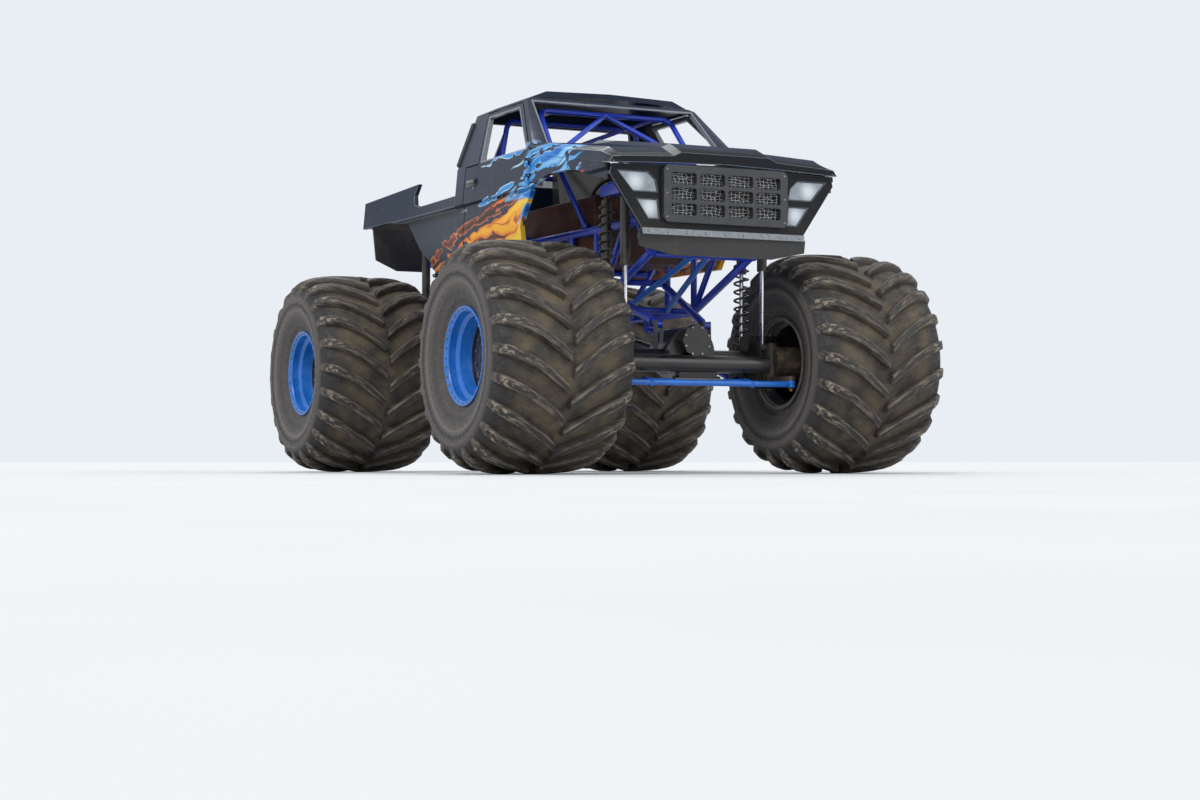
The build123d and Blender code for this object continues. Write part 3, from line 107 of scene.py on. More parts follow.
def mottled_finish(name, dark, pale, patch, detail=2.0, **constants):
    """A finish that drifts between two tones in soft patches, their real size in millimetres."""
    finish, tree, shader = new_finish(name, **constants)
    place = add_node(tree, "ShaderNodeTexCoord").outputs["Object"]
    patches = add_node(tree, "ShaderNodeTexNoise", {
        "Vector": place, "Scale": millimetres(patch), "Detail": detail})
    tone = add_node(tree, "ShaderNodeMix", {0: patches, 6: linear(dark), 7: linear(pale)},
                    data_type="RGBA")
    plug(shader, {"Base Color": tone})
    return finish


def stored(shape, name):
    """Moves a bmesh into a new mesh."""
    mesh = bpy.data.meshes.new(name)
    shape.to_mesh(mesh)
    shape.free()
    return mesh


def link_object(name, mesh, *finishes):
    """A new object in the scene that shows a mesh with its finishes."""
    made = bpy.data.objects.new(name, mesh)
    bpy.context.scene.collection.objects.link(made)
    for finish in finishes:
        mesh.materials.append(finish)
    return made


# Matt floor paint: an even, shineless grey white
floor_paint = mottled_finish("matt_floor_paint", "DCDDDE", "E6E7E8", 1250, Roughness=0.85)
floor_half = 90.0
shape = bmesh.new()
bmesh.ops.create_grid(shape, x_segments=1, y_segments=1, size=floor_half)
link_object("floor", stored(shape, "floor"), floor_paint)

# The sky lights the truck evenly, and is a little brighter where it is seen, mirrored or looked through to
sky_fill = 0.62
sky = bpy.data.worlds.new("pale_sky")
bpy.context.scene.world = sky
sky.use_nodes = True
tree = sky.node_tree
even = tree.nodes["Background"]
plug(even, {"Color": linear("F2F5FA"), "Strength": sky_fill})
seen = add_node(tree, "ShaderNodeBackground", {"Color": linear("E9EEF4"), "Strength": 1.0})
rays = add_node(tree, "ShaderNodeLightPath").outputs
seen_ray = rays["Is Camera Ray"]
for other_ray in ("Is Glossy Ray", "Is Transmission Ray"):
    seen_ray = add_node(tree, "ShaderNodeMath", {0: seen_ray, 1: rays[other_ray]}, operation="MAXIMUM")
mixed = add_node(tree, "ShaderNodeMixShader", {0: seen_ray, 1: even, 2: seen})
plug(tree.nodes["World Output"], {"Surface": mixed})

# Each lamp: name, direction it shines from, strength, angular width in degrees
for name, source, strength, width in (
    ("key_lamp", (0.75, -0.95, 1.15), 1.5, 28),
    ("fill_lamp", (1.0, 0.9, 0.7), 0.55, 40),
    ("rim_lamp", (-1.0, 0.35, 0.9), 0.8, 25),
):
    lamp = bpy.data.lights.new(name, "SUN")
    lamp.energy = strength
    lamp.angle = math.radians(width)
    holder = bpy.data.objects.new(name, lamp)
    holder.rotation_mode = "QUATERNION"
    holder.rotation_quaternion = (-Vector(source)).to_track_quat("-Z", "Y")
    bpy.context.scene.collection.objects.link(holder)

# Camera: 18 m off the truck's right front corner, close to the floor, turned and tilted a little so that
# the truck stands in the frame where the photograph has it.
view_azimuth = math.radians(64)
view_distance = 18.0
camera_height = 0.10
camera_pan = math.radians(0.51)
camera_tilt = math.radians(1.56)
back = Vector((math.sin(view_azimuth), -math.cos(view_azimuth), 0))
right = Vector((math.cos(view_azimuth), math.sin(view_azimuth), 0))
ahead = (-back * math.cos(camera_pan) + right * math.sin(camera_pan)) * math.cos(camera_tilt)
ahead.z = math.sin(camera_tilt)
camera_data = bpy.data.cameras.new("camera")
camera_data.lens = 66.4
camera_data.sensor_width = 36.0
camera_data.clip_end = 500.0
camera = bpy.data.objects.new("camera", camera_data)
camera.location = back * view_distance + Vector((0, 0, camera_height))
camera.rotation_mode = "QUATERNION"
camera.rotation_quaternion = ahead.to_track_quat("-Z", "Y")
bpy.context.scene.collection.objects.link(camera)
bpy.context.scene.camera = camera

bpy.context.scene.view_settings.view_transform = "Standard"


# Tyres: 66 inch flotation tyres of moulded rubber. Each carcass is one spun section, and 22 curved lugs
# a side run from the middle over the shoulder, the two sides half a pitch apart, points leading at the top.
def shaded(mesh, smooth_angle):
    """Smooth shading that breaks at edges sharper than that many degrees."""
    mesh.shade_smooth()
    mesh.set_sharp_from_angle(angle=math.radians(smooth_angle))
    return mesh


def finished_mesh(shape, name, smooth_angle):
    """Ends a bmesh: normals outwards, smooth shading broken at sharp edges."""
    bmesh.ops.recalc_face_normals(shape, faces=shape.faces)
    return shaded(stored(shape, name), smooth_angle)


def spun_shape(shape, profile, steps):
    """Spins an open line of (offset along Y, radius) points once round the Y axis."""
    verts = [shape.verts.new((0, offset, radius)) for offset, radius in profile]
    edges = [shape.edges.new(pair) for pair in zip(verts, verts[1:])]
    bmesh.ops.spin(shape, geom=verts + edges, cent=(0, 0, 0), axis=(0, 1, 0), dvec=(0, 0, 0),
                   angle=math.tau, steps=steps, use_merge=True)


tyre_radius = (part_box("tyre_fl")[1].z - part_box("tyre_fl")[0].z) / 2
lug_count = 22
lug_pitch = math.tau / lug_count
lug_sweep_centre, lug_sweep_shoulder = 0.92, 0.25
lug_turn = math.radians(-18.71)
lug_stations = 11
lug_start, lug_reach = 0.014, 0.545
lug_half_middle, lug_half_growth = 0.029, 0.010
# Across a lug a mark is this share of its length along the lug
lug_drag = 0.22

# The last part of a lug's run drops down the sidewall. Its root is wider than its tip and lies under the
# carcass's skin, drawn in at the heel
side_from, side_offset, side_top, side_drop, side_depth = 0.86, 0.5475, 0.655, 0.075, 0.012
root_flare, root_depth = 0.016, 0.012
heel_from, heel_inset = 0.8, -0.03

# The tread's section: columns are offset from the middle, radius of the lug tips, depth of the valley
tread_rows = [(0.0, 0.838, 0.060), (0.22, 0.836, 0.062), (0.34, 0.826, 0.062), (0.43, 0.803, 0.060),
              (0.50, 0.764, 0.054), (0.535, 0.715, 0.042), (0.548, 0.655, 0.020)]


def tread_at(offset):
    """Tip radius and valley depth of the tread at an offset from its middle."""
    for (s0, r0, d0), (s1, r1, d1) in zip(tread_rows, tread_rows[1:]):
        if offset <= s1:
            share = (offset - s0) / (s1 - s0)
            return r0 + (r1 - r0) * share, d0 + (d1 - d0) * share
    return tread_rows[-1][1:]


def lug_lean(offset):
    """The angle round the tyre at which a lug's centre line lies, at an offset from the middle."""
    left = max(0.0, 1 - offset / lug_reach)
    gain = (lug_sweep_centre - lug_sweep_shoulder) * left ** 2 / 2
    return lug_reach * (lug_sweep_shoulder * left + gain) / tyre_radius + lug_turn


def lug_half(station):
    """Half a lug's width at its tip, in metres, from 0 at the middle to 1 at the shoulder."""
    return lug_half_middle + lug_half_growth * station


def lug_point(station, sideways, tip):
    """A lug's corner: station 0 to 1 from the middle outwards, sideways in half widths, tip or root."""
    if station < side_from:
        offset = lug_start + (lug_reach - lug_start) * station / side_from
        radius, depth = tread_at(offset)
    else:
        offset = side_offset
        radius, depth = side_top - (station - side_from) / (1 - side_from) * side_drop, side_depth
    half = lug_half(station) if tip else lug_half(station) + root_flare
    level = radius if tip else radius - depth - root_depth
    inset = 0.0 if tip or station < heel_from else heel_inset
    angle = lug_lean(offset) + sideways * half / tyre_radius
    return Vector((level * math.sin(angle), offset + inset, level * math.cos(angle)))


carcass = bmesh.new()
outer_half = [(offset, radius - depth) for offset, radius, depth in tread_rows]
side_half = [(0.549, 0.635), (0.5465, 0.630), (0.5465, 0.618), (0.549, 0.613), (0.546, 0.580),
             (0.538, 0.535), (0.5335, 0.529), (0.5335, 0.521), (0.532, 0.515), (0.516, 0.455),
             (0.497, 0.412), (0.487, 0.398), (0.4755, 0.392), (0.4695, 0.385), (0.463, 0.368),
             (0.4578, 0.352), (0.456, 0.335)]
half_line = outer_half + side_half
tyre_line = [(-offset, radius) for offset, radius in reversed(half_line)] + half_line[1:]
spun_shape(carcass, tyre_line, lug_count * 6)
carcass_mesh = finished_mesh(carcass, "carcass", 28)

# One lug is extruded station by station from its middle end, then its tip's edges are eased
lug = bmesh.new()
corner_signs = ((-1, True), (-0.5, True), (0.5, True), (1, True), (1, False), (-1, False))
ends = lug.faces.new([lug.verts.new(lug_point(0.0, side, tip)) for side, tip in corner_signs])
for step in range(1, lug_stations + 1):
    grown = bmesh.ops.extrude_face_region(lug, geom=[ends])["geom"]
    fresh = [item for item in grown if isinstance(item, bmesh.types.BMFace)][0]
    for vert, (side, tip) in zip(fresh.verts, corner_signs):
        vert.co = lug_point(step / lug_stations, side, tip)
    if step > 1:
        bmesh.ops.delete(lug, geom=[ends], context="FACES_ONLY")
    ends = fresh
bmesh.ops.recalc_face_normals(lug, faces=lug.faces)
tips = [edge for edge in lug.edges if edge.is_manifold and edge.calc_face_angle(0) > math.radians(30)]
bmesh.ops.bevel(lug, geom=tips, offset=0.007, segments=2, profile=0.5, affect="EDGES", material=-1)
lug_mesh = stored(lug, "lug")

tread = bmesh.new()
for side in (1, -1):
    row = bmesh.new()
    row.from_mesh(lug_mesh)
    if side < 0:
        bmesh.ops.scale(row, vec=(1, -1, 1), verts=row.verts)
        bmesh.ops.rotate(row, cent=(0, 0, 0), matrix=Matrix.Rotation(lug_pitch / 2, 3, "Y"),
                         verts=row.verts)
    bmesh.ops.spin(row, geom=row.verts[:] + row.edges[:] + row.faces[:], cent=(0, 0, 0), axis=(0, 1, 0),
                   dvec=(0, 0, 0), angle=lug_pitch * (lug_count - 1), steps=lug_count - 1,
                   use_duplicate=True)
    tread.from_mesh(stored(row, "row"))
tread_mesh = finished_mesh(tread, "tread", 40)

# Moulded rubber with dry tan clay: near black and dull, brown in the valleys, with pale strokes that run
# along the lugs, a painted pale highlight along their edges, and a greyer film of dust on the sidewall
# round the rim
rubber, tree, shader = new_finish("moulded_rubber", IOR=1.52, Specular_IOR_Level=0.4)
place = add_node(tree, "ShaderNodeTexCoord").outputs["Object"]
flow = add_node(tree, "ShaderNodeAttribute", attribute_name="lug_flow").outputs["Vector"]
tone = add_node(tree, "ShaderNodeAttribute", attribute_name="tread_tone").outputs["Vector"]
level, pale_edges, ring = add_node(tree, "ShaderNodeSeparateXYZ", {0: tone}).outputs
stroke_noise = add_node(tree, "ShaderNodeTexNoise", {
    "Vector": flow, "Scale": millimetres(24), "Detail": 5.0, "Roughness": 0.62})
broad_noise = add_node(tree, "ShaderNodeTexNoise", {
    "Vector": place, "Scale": millimetres(190), "Detail": 3.0, "Roughness": 0.55})
# The grain is drawn at 7 mm, because the real one is too fine to show
grain = add_node(tree, "ShaderNodeTexNoise", {
    "Vector": place, "Scale": millimetres(7), "Detail": 4.0, "Roughness": 0.7})
speckle = add_node(tree, "ShaderNodeMapRange", {
    "Value": grain, "From Min": 0.35, "From Max": 0.62, "To Min": 0.45, "To Max": 1.0})
off_middle = add_node(tree, "ShaderNodeSeparateXYZ", {0: flow}).outputs["Z"]
off_middle = add_node(tree, "ShaderNodeMath", {0: off_middle}, operation="ABSOLUTE")
# Clay lies in the valleys from near the middle to the shoulder, in broken patches
clay = add_node(tree, "ShaderNodeMapRange", {
    "Value": broad_noise, "From Min": 0.36, "From Max": 0.66, "To Min": 0.10, "To Max": 0.85})
tread_side = add_node(tree, "ShaderNodeMapRange", {
    "Value": off_middle, "From Min": 0.47 * lug_drag, "From Max": 0.34 * lug_drag})
sunk = add_node(tree, "ShaderNodeMapRange", {"Value": level, "From Min": 0.55, "From Max": 0.05})
for share in (tread_side, sunk, speckle):
    clay = add_node(tree, "ShaderNodeMath", {0: clay, 1: share}, operation="MULTIPLY")
# Lug tops: dust strokes along them, most at their outer ends, and a painted highlight along their edges
strokes = add_node(tree, "ShaderNodeMapRange", {
    "Value": stroke_noise, "From Min": 0.49, "From Max": 0.64, "To Max": 0.9})
outer = add_node(tree, "ShaderNodeMapRange", {
    "Value": off_middle, "From Min": 0.30 * lug_drag, "From Max": 0.46 * lug_drag, "To Min": 0.40})
strokes = add_node(tree, "ShaderNodeMath", {0: strokes, 1: outer}, operation="MULTIPLY")
# Painted highlight: a pale tan line along the edges of the lug tops, broken up by the stroke noise
edge_highlight_break = add_node(tree, "ShaderNodeMapRange", {
    "Value": stroke_noise, "From Min": 0.38, "From Max": 0.60, "To Max": 0.55})
pale_edges = add_node(tree, "ShaderNodeMath", {0: pale_edges, 1: edge_highlight_break}, operation="MULTIPLY")
lug_dust_and_edge_highlight = add_node(tree, "ShaderNodeMath", {0: strokes, 1: pale_edges}, operation="MAXIMUM")
for share in (level, speckle):
    lug_dust_and_edge_highlight = add_node(tree, "ShaderNodeMath", {0: lug_dust_and_edge_highlight, 1: share}, operation="MULTIPLY")
ring = add_node(tree, "ShaderNodeMath", {0: ring, 1: speckle}, operation="MULTIPLY")
coat = add_node(tree, "ShaderNodeMix", {0: grain, 6: linear("121213"), 7: linear("2A2A2B")},
                data_type="RGBA")
for share, dirt in ((clay, "75674F"), (lug_dust_and_edge_highlight, "B9AA93"), (ring, "8A817C")):
    coat = add_node(tree, "ShaderNodeMix", {0: share, 6: coat, 7: linear(dirt)}, data_type="RGBA")
dull = add_node(tree, "ShaderNodeMapRange", {
    "Value": stroke_noise, "From Min": 0.35, "From Max": 0.6, "To Min": 0.48, "To Max": 0.82})
relief = add_node(tree, "ShaderNodeBump", {"Strength": 0.4, "Distance": 0.002, "Height": grain})
scuffs = add_node(tree, "ShaderNodeBump", {
    "Strength": 0.5, "Distance": 0.003, "Height": stroke_noise, "Normal": relief})
plug(shader, {"Base Color": coat, "Roughness": dull, "Normal": scuffs})

# The rubber's marks follow each vertex: how it lies along its lug, how high it stands, how much painted
# highlight it gets at a lug's edge, and how much dust its place on the sidewall holds
raised_rib = (0.612, 0.636)
dust_band, dust_band_half = 0.535, 0.05
rim_dust_from, rim_dust_run = 0.54, 0.13
for corner in ("fl", "fr", "rl", "rr"):
    low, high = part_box(f"tyre_{corner}")
    whole = bmesh.new()
    whole.from_mesh(carcass_mesh)
    whole.from_mesh(tread_mesh)
    flows = whole.verts.layers.float_vector.new("lug_flow")
    tones = whole.verts.layers.float_vector.new("tread_tone")
    for vert in whole.verts:
        offset, reach = abs(vert.co.y), math.hypot(vert.co.x, vert.co.z)
        radius, depth = tread_at(min(offset, tread_rows[-1][0]))
        half_pitch = lug_pitch / 2 if vert.co.y < 0 else 0.0
        angle = math.atan2(vert.co.x, vert.co.z) - lug_lean(offset) - half_pitch
        vert[flows] = (reach * math.cos(angle), reach * math.sin(angle), vert.co.y * lug_drag)
        beside = abs((angle / lug_pitch + 0.5) % 1 - 0.5) * lug_pitch * tyre_radius
        # How near a lug's edge a vertex lies, for the painted highlight given only on the lug tops
        on_edge = min(1.0, max(0.0, (beside / lug_half(offset / lug_reach) - 0.6) / 0.25))
        height = 1 - min(1.0, max(0.0, (radius - reach) / depth))
        by_rim = min(1.0, max(0.0, (rim_dust_from - reach) / rim_dust_run)) if offset > 0.45 else 0.0
        raised = 1.0 if raised_rib[0] < reach < raised_rib[1] and offset > 0.54 else 0.0
        band = max(0.0, 1 - abs(reach - dust_band) / dust_band_half) if offset > 0.5 else 0.0
        vert[tones] = (height, on_edge if height > 0.7 else 0.0,
                       max(0.35 * by_rim, 0.5 * raised, 0.75 * band, 0.08))
    bmesh.ops.translate(whole, vec=(low + high) / 2, verts=whole.verts)
    mesh = shaded(stored(whole, f"treaded_tyre_{corner}"), 32)
    tyre = link_object(f"treaded_tyre_{corner}", mesh, rubber)
    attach(tyre, f"wheel_{corner}")
    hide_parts(f"tyre_{corner}")


# Wheels: spun steel rims with a rolled lip, a deep stepped dish and a black planetary hub with ringed
# bolts. The dish is welded in the rim, and the hub's bolts hold it on its spindle.
def worn_coat(name, colour, worn, dust=0.12, gloss=0.28, chip_size=9):
    """A sprayed or moulded coat: a little uneven, chipped in small spots and filmed with tan dust."""
    finish, tree, shader = new_finish(name, IOR=1.5, Coat_Weight=0.35, Coat_Roughness=0.12)
    place = add_node(tree, "ShaderNodeTexCoord").outputs["Object"]
    cloud = add_node(tree, "ShaderNodeTexNoise", {
        "Vector": place, "Scale": millimetres(160), "Detail": 6.0, "Roughness": 0.65})
    chips = add_node(tree, "ShaderNodeTexNoise", {
        "Vector": place, "Scale": millimetres(chip_size), "Detail": 5.0, "Roughness": 0.6})
    shade = add_node(tree, "ShaderNodeMapRange", {
        "Value": cloud, "From Min": 0.3, "From Max": 0.7, "To Min": 0.72, "To Max": 1.15})
    coat = add_node(tree, "ShaderNodeMix", {0: 1.0, 6: linear(colour), 7: shade},
                    data_type="RGBA", blend_type="MULTIPLY")
    chipped = add_node(tree, "ShaderNodeMapRange", {"Value": chips, "From Min": 0.66, "From Max": 0.70})
    film = add_node(tree, "ShaderNodeMapRange", {
        "Value": cloud, "From Min": 0.45, "From Max": 0.75, "To Min": dust * 0.25, "To Max": dust * 2})
    for share, over in ((chipped, worn), (film, "8E7C62")):
        coat = add_node(tree, "ShaderNodeMix", {0: share, 6: coat, 7: linear(over)}, data_type="RGBA")
    dull = add_node(tree, "ShaderNodeMapRange", {
        "Value": cloud, "From Min": 0.3, "From Max": 0.75, "To Min": gloss, "To Max": gloss + 0.3})
    peel = add_node(tree, "ShaderNodeBump", {"Strength": 0.25, "Distance": 0.0008, "Height": chips})
    plug(shader, {"Base Color": coat, "Roughness": dull, "Normal": peel})
    return finish


def bolt_ring(shape, count, radius, face, size, height):
    """A ring of hexagon bolt heads on a face square to Y."""
    for i in range(count):
        turn = Matrix.Rotation(math.tau * (i + 0.5) / count, 4, "Y")
        upright = Matrix.Rotation(math.pi / 2, 4, "X")
        seat = turn @ Matrix.Translation((0, face + height / 2, radius)) @ upright
        head = bmesh.ops.create_cone(shape, cap_ends=True, segments=6, radius1=size, radius2=size,
                                     depth=height, matrix=seat)["verts"]
        rims = {edge for vert in head for edge in vert.link_edges}
        bmesh.ops.bevel(shape, geom=list(rims), offset=size * 0.12, segments=1, profile=0.5,
                        affect="EDGES", material=-1)


def add_piece(name, shape, body, slot, *finishes, smooth_angle=30):
    """Ends a bmesh as a new piece that moves with a body."""
    made = link_object(name, finished_mesh(shape, name, smooth_angle), *finishes)
    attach(made, body)
    return made


# Sprayed enamel, bright blue and glossy on lips and barrel
wheel_blue = worn_coat("wheel_blue_enamel", "0670CC", "7F97AC", dust=0.08)
# The same enamel in the dish's step, painted dark for the shade deep in the dish, and duller
dish_blue_painted_shade = worn_coat("dish_blue_enamel_painted_shade", "0A1C36", "3A4A55", dust=0.06, gloss=0.4)
# Rolled steel rubbed bare by stones: a dull brownish grey lip
lip_grey = worn_coat("worn_lip_steel", "55534F", "8D8A84", dust=0.25, gloss=0.5)
# Black enamel on cast hubs: a soft low gloss
hub_black = worn_coat("hub_black_enamel", "0D0D0E", "3A3836", dust=0.08, gloss=0.4)
# Zinc plate on steel: grey metal, clouded by tarnish
bolt_steel = mottled_finish("zinc_bolt_steel", "6E6C68", "A8A69F", 20, Metallic=1.0, Roughness=0.38)

rim_line = [(0.380, 0.288), (0.386, 0.300), (0.400, 0.316), (0.436, 0.321), (0.452, 0.318),
            (0.460, 0.322), (0.466, 0.333), (0.474, 0.341), (0.4775, 0.345), (0.4783, 0.350),
            (0.4770, 0.3545), (0.470, 0.356), (0.462, 0.355), (0.4585, 0.350)]
dish_line = [(0.380, 0.288), (0.372, 0.2865), (0.300, 0.2865), (0.292, 0.283), (0.288, 0.275),
             (0.280, 0.2735), (0.268, 0.272), (0.2635, 0.266), (0.2630, 0.215)]
barrel_line = [(0.380, 0.288), (0.376, 0.300), (-0.376, 0.300), (-0.40, 0.330), (-0.4785, 0.330),
               (-0.4785, 0.352), (-0.470, 0.352), (-0.460, 0.318), (-0.400, 0.316), (-0.38, 0.288),
               (0.240, 0.288), (0.240, 0.180)]
hub_line = [(0.2630, 0.218), (0.2630, 0.207), (0.268, 0.2045), (0.290, 0.203), (0.2985, 0.199),
            (0.3015, 0.190), (0.3015, 0.150), (0.304, 0.1455), (0.304, 0.118), (0.300, 0.112),
            (0.300, 0.0)]
bore_line = [(0.240, 0.205), (-0.125, 0.205), (-0.150, 0.180), (-0.150, 0.081)]

# Each ring of bolts: count, radius of the ring, face it sits on, half width of a head, height
wheel_bolt_rings = ((30, 0.3375, 0.4680, 0.0075, 0.008), (16, 0.245, 0.2630, 0.013, 0.014),
                    (12, 0.170, 0.3015, 0.010, 0.010))

# Outward offsets at which a rim's finish changes: worn inner lip, black barrel, step in painted shade,
# bright lip
rim_zones = ((-0.42, 3), (0.255, 2), (0.296, 1))

for corner in ("fl", "fr", "rl", "rr"):
    side = 1 if corner[1] == "l" else -1
    low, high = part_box(f"wheel_{corner}")
    centre = (low + high) / 2
    for piece, lines, slot, smooth_angle, finishes in (
        ("rim", ((rim_line, 96), (dish_line, 96), (barrel_line, 96)), "wheel_blue", 30,
         (wheel_blue, dish_blue_painted_shade, hub_black, lip_grey)),
        ("hub", ((hub_line, 96), (bore_line, 64)), "wheel_blue", 30, (hub_black,)),
        ("wheel_bolts", (), "polished", 25, (bolt_steel,)),
    ):
        shape = bmesh.new()
        for line, steps in lines:
            spun_shape(shape, line, steps)
        if lines:
            bmesh.ops.remove_doubles(shape, verts=shape.verts, dist=0.0002)
        else:
            for ring in wheel_bolt_rings:
                bolt_ring(shape, *ring)
        if side < 0:
            bmesh.ops.scale(shape, vec=(1, -1, 1), verts=shape.verts)
        bmesh.ops.translate(shape, vec=centre, verts=shape.verts)
        for face in shape.faces if piece == "rim" else ():
            outward = (face.calc_center_median() - centre).y * side
            face.material_index = next((finish for edge, finish in rim_zones if outward < edge), 0)
        made = add_piece(f"{piece}_{corner}", shape, f"wheel_{corner}", slot, *finishes,
                         smooth_angle=smooth_angle)
        if piece == "rim":
            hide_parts(f"wheel_{corner}")


# Axles, knuckles, tie rods and driveshafts: cast and welded steel in satin black, greasy and dusty, with
# blue tie rods. They keep the solids' shapes, with their edges eased as castings and weldments have them.
def merged_copy(node):
    """A copy of a solid's mesh as a bmesh, its seams merged and its flat faces whole."""
    shape = bmesh.new()
    shape.from_mesh(frame["nodes"][node].data)
    bmesh.ops.remove_doubles(shape, verts=shape.verts, dist=0.00004)
    bmesh.ops.dissolve_limit(shape, angle_limit=math.radians(0.6), verts=shape.verts, edges=shape.edges)
    return shape


def stand_in(node, piece, shape, slot, *finishes, keep_angle=34.0):
    """Ends a bmesh as the piece that stands for a solid and moves with it."""
    made = link_object(piece, shaded(stored(shape, piece), keep_angle), *finishes)
    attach(made, frame["nodes"][node]["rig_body"])
    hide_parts(node)
    return made


def evened(piece):
    """Even shading over a piece's broad faces, its sharp edges kept."""
    even = piece.modifiers.new("even_shading", "WEIGHTED_NORMAL")
    even.keep_sharp = True


def refined(node, piece, finish, slot, round_edge=0.0, segments=2, keep_angle=34.0):
    """A solid's stand-in with eased edges and even shading."""
    made = stand_in(node, piece, merged_copy(node), slot, finish, keep_angle=keep_angle)
    if round_edge:
        ease = made.modifiers.new("eased_edges", "BEVEL")
        ease.width = round_edge
        ease.segments = segments
        ease.limit_method = "ANGLE"
        ease.angle_limit = math.radians(keep_angle)
        ease.use_clamp_overlap = True
        evened(made)


# Black enamel on welded plate: deep and glossy, with few broad chips
axle_black = worn_coat("axle_black_enamel", "0B0C0D", "34322F", dust=0.04, gloss=0.22, chip_size=14)
# Cast steel caked with clay: brown black, patched with tan
clay_casting = worn_coat("clay_caked_casting", "241F1B", "8A7256", dust=0.34, gloss=0.5, chip_size=20)
# Enamel on tube: clean deep blue for the frame, a lighter blue for stays and tie rods
frame_blue = worn_coat("frame_blue_enamel", "0A3AC0", "10205A", dust=0.04)
stay_blue = worn_coat("stay_blue_enamel", "0B6CD0", "0B3B86", dust=0.04)
for end in ("front", "rear"):
    refined(f"axle_{end}", f"axle_housing_{end}", axle_black, "axle_black", 0.003)
    refined(f"tie_rod_{end}", f"tie_rod_{end}_enamelled", stay_blue, "frame_blue", 0.002)
for corner in ("fl", "fr", "rl", "rr"):
    refined(f"knuckle_{corner}", f"knuckle_{corner}_cast", clay_casting, "axle_black", 0.004)
refined("driveshafts", "driveshaft_tubes", axle_black, "axle_black", 0.002)

# Brass of the rod ends' nuts: dull yellow metal, tarnished in spots
brass = mottled_finish("dull_brass", "8A6A34", "C9A461", 12, Metallic=1.0, Roughness=0.36)
# Bolts round each axle's cover: count, radius of the ring, face, half width of a head, height
cover_bolts = (8, 0.104, 0.0, 0.0095, 0.009)
cover_face, pinion_height = 1.960, 0.978
# Under each eye of a tie rod a nut and its stud's end: radius, height, sides
nut_steps = ((0.021, 0.013, 6), (0.012, 0.021, 16))
rod_line, rod_eye, rod_underside = 2.050, 0.750, 0.636
for end, fore in (("front", 1), ("rear", -1)):
    shape = bmesh.new()
    bolt_ring(shape, *cover_bolts)
    bmesh.ops.rotate(shape, cent=(0, 0, 0), matrix=Matrix.Rotation(-fore * math.pi / 2, 3, "Z"),
                     verts=shape.verts)
    bmesh.ops.translate(shape, vec=(fore * cover_face, 0, pinion_height), verts=shape.verts)
    add_piece(f"axle_cover_bolts_{end}", shape, "chassis", "polished", bolt_steel, smooth_angle=25)
    shape = bmesh.new()
    for side in (1, -1):
        for radius, height, segments in nut_steps:
            seat = (fore * rod_line, side * rod_eye, rod_underside - height / 2)
            bmesh.ops.create_cone(shape, cap_ends=True, segments=segments, radius1=radius,
                                  radius2=radius, depth=height, matrix=Matrix.Translation(seat))
    add_piece(f"tie_rod_nuts_{end}", shape, frame["nodes"][f"tie_rod_{end}"]["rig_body"], "polished",
              brass, smooth_angle=25)


# Suspension: blue links, gas shocks with chromed shafts and coil-overs with black springs of round wire,
# wound as true coils. They hang between welded tabs on the frame and the axles.

# Hard chrome: a bright mirror, hazed and smeared by road film
chrome, tree, shader = new_finish("hard_chrome", Metallic=1.0, Roughness=0.12)
place = add_node(tree, "ShaderNodeTexCoord").outputs["Object"]
haze = add_node(tree, "ShaderNodeTexNoise", {"Vector": place, "Scale": millimetres(60), "Detail": 4.0})
tone = add_node(tree, "ShaderNodeMix", {0: haze, 6: linear("B9BBBE"), 7: linear("E4E5E6")},
                data_type="RGBA")
smear = add_node(tree, "ShaderNodeMapRange", {
    "Value": haze, "From Min": 0.35, "From Max": 0.7, "To Min": 0.08, "To Max": 0.34})
plug(shader, {"Base Color": tone, "Roughness": smear})
# Baked powder on spring wire: an even satin black that holds dust
spring_black = worn_coat("spring_powder_coat", "17171A", "55514B", dust=0.14, gloss=0.36)

refined("suspension_links", "suspension_link_tubes", frame_blue, "frame_blue", 0.0015)
gas_inset, coil_inset, shock_side = 0.037, 0.062, 0.575
shaft_reach, shaft_foot = 0.018, 0.06
for end, fore in (("front", 1), ("rear", -1)):
    low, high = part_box(f"shocks_{end}")
    gas_x, coil_x = ((high.x - gas_inset, low.x + coil_inset) if fore > 0
                     else (low.x + gas_inset, high.x - coil_inset))
    shape = merged_copy(f"shocks_{end}")
    for face in shape.faces:
        spot = face.calc_center_median()
        off_axis = min(math.hypot(spot.x - x, abs(spot.y) - shock_side) for x in (gas_x, coil_x))
        on_shaft = low.z + shaft_foot < spot.z < (low.z + high.z) / 2
        face.material_index = int(off_axis < shaft_reach and on_shaft)
    stand_in(f"shocks_{end}", f"shock_bodies_{end}", shape, "chrome", spring_black, chrome)

wire_radius, coil_radius = 0.0085, 0.0535
spring_turns, steps_a_turn = 15, 20
spring_inset_x, spring_inset_y = 0.062, 0.059
spring_low, spring_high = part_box("springs")
coils = bmesh.new()
coil_rise = spring_high.z - spring_low.z - 2 * wire_radius
steps = spring_turns * steps_a_turn
for x, y in [(sign_x * (spring_high.x - spring_inset_x), sign_y * (spring_high.y - spring_inset_y))
             for sign_x in (1, -1) for sign_y in (1, -1)]:
    start = Matrix.Translation((x + coil_radius, y, spring_low.z + wire_radius))
    ring = bmesh.ops.create_circle(coils, cap_ends=False, segments=8, radius=wire_radius,
                                   matrix=start @ Matrix.Rotation(math.pi / 2, 4, "X"))["verts"]
    edges = list({edge for vert in ring for edge in vert.link_edges})
    bmesh.ops.spin(coils, geom=ring + edges, cent=(x, y, 0), axis=(0, 0, 1),
                   dvec=(0, 0, coil_rise / steps), angle=math.tau * spring_turns, steps=steps)
loose = [edge for edge in coils.edges if edge.is_boundary]
bmesh.ops.holes_fill(coils, edges=loose, sides=8)
coil_piece = add_piece("spring_coils", coils, "chassis", "spring_black", spring_black, smooth_angle=60)
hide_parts("springs")


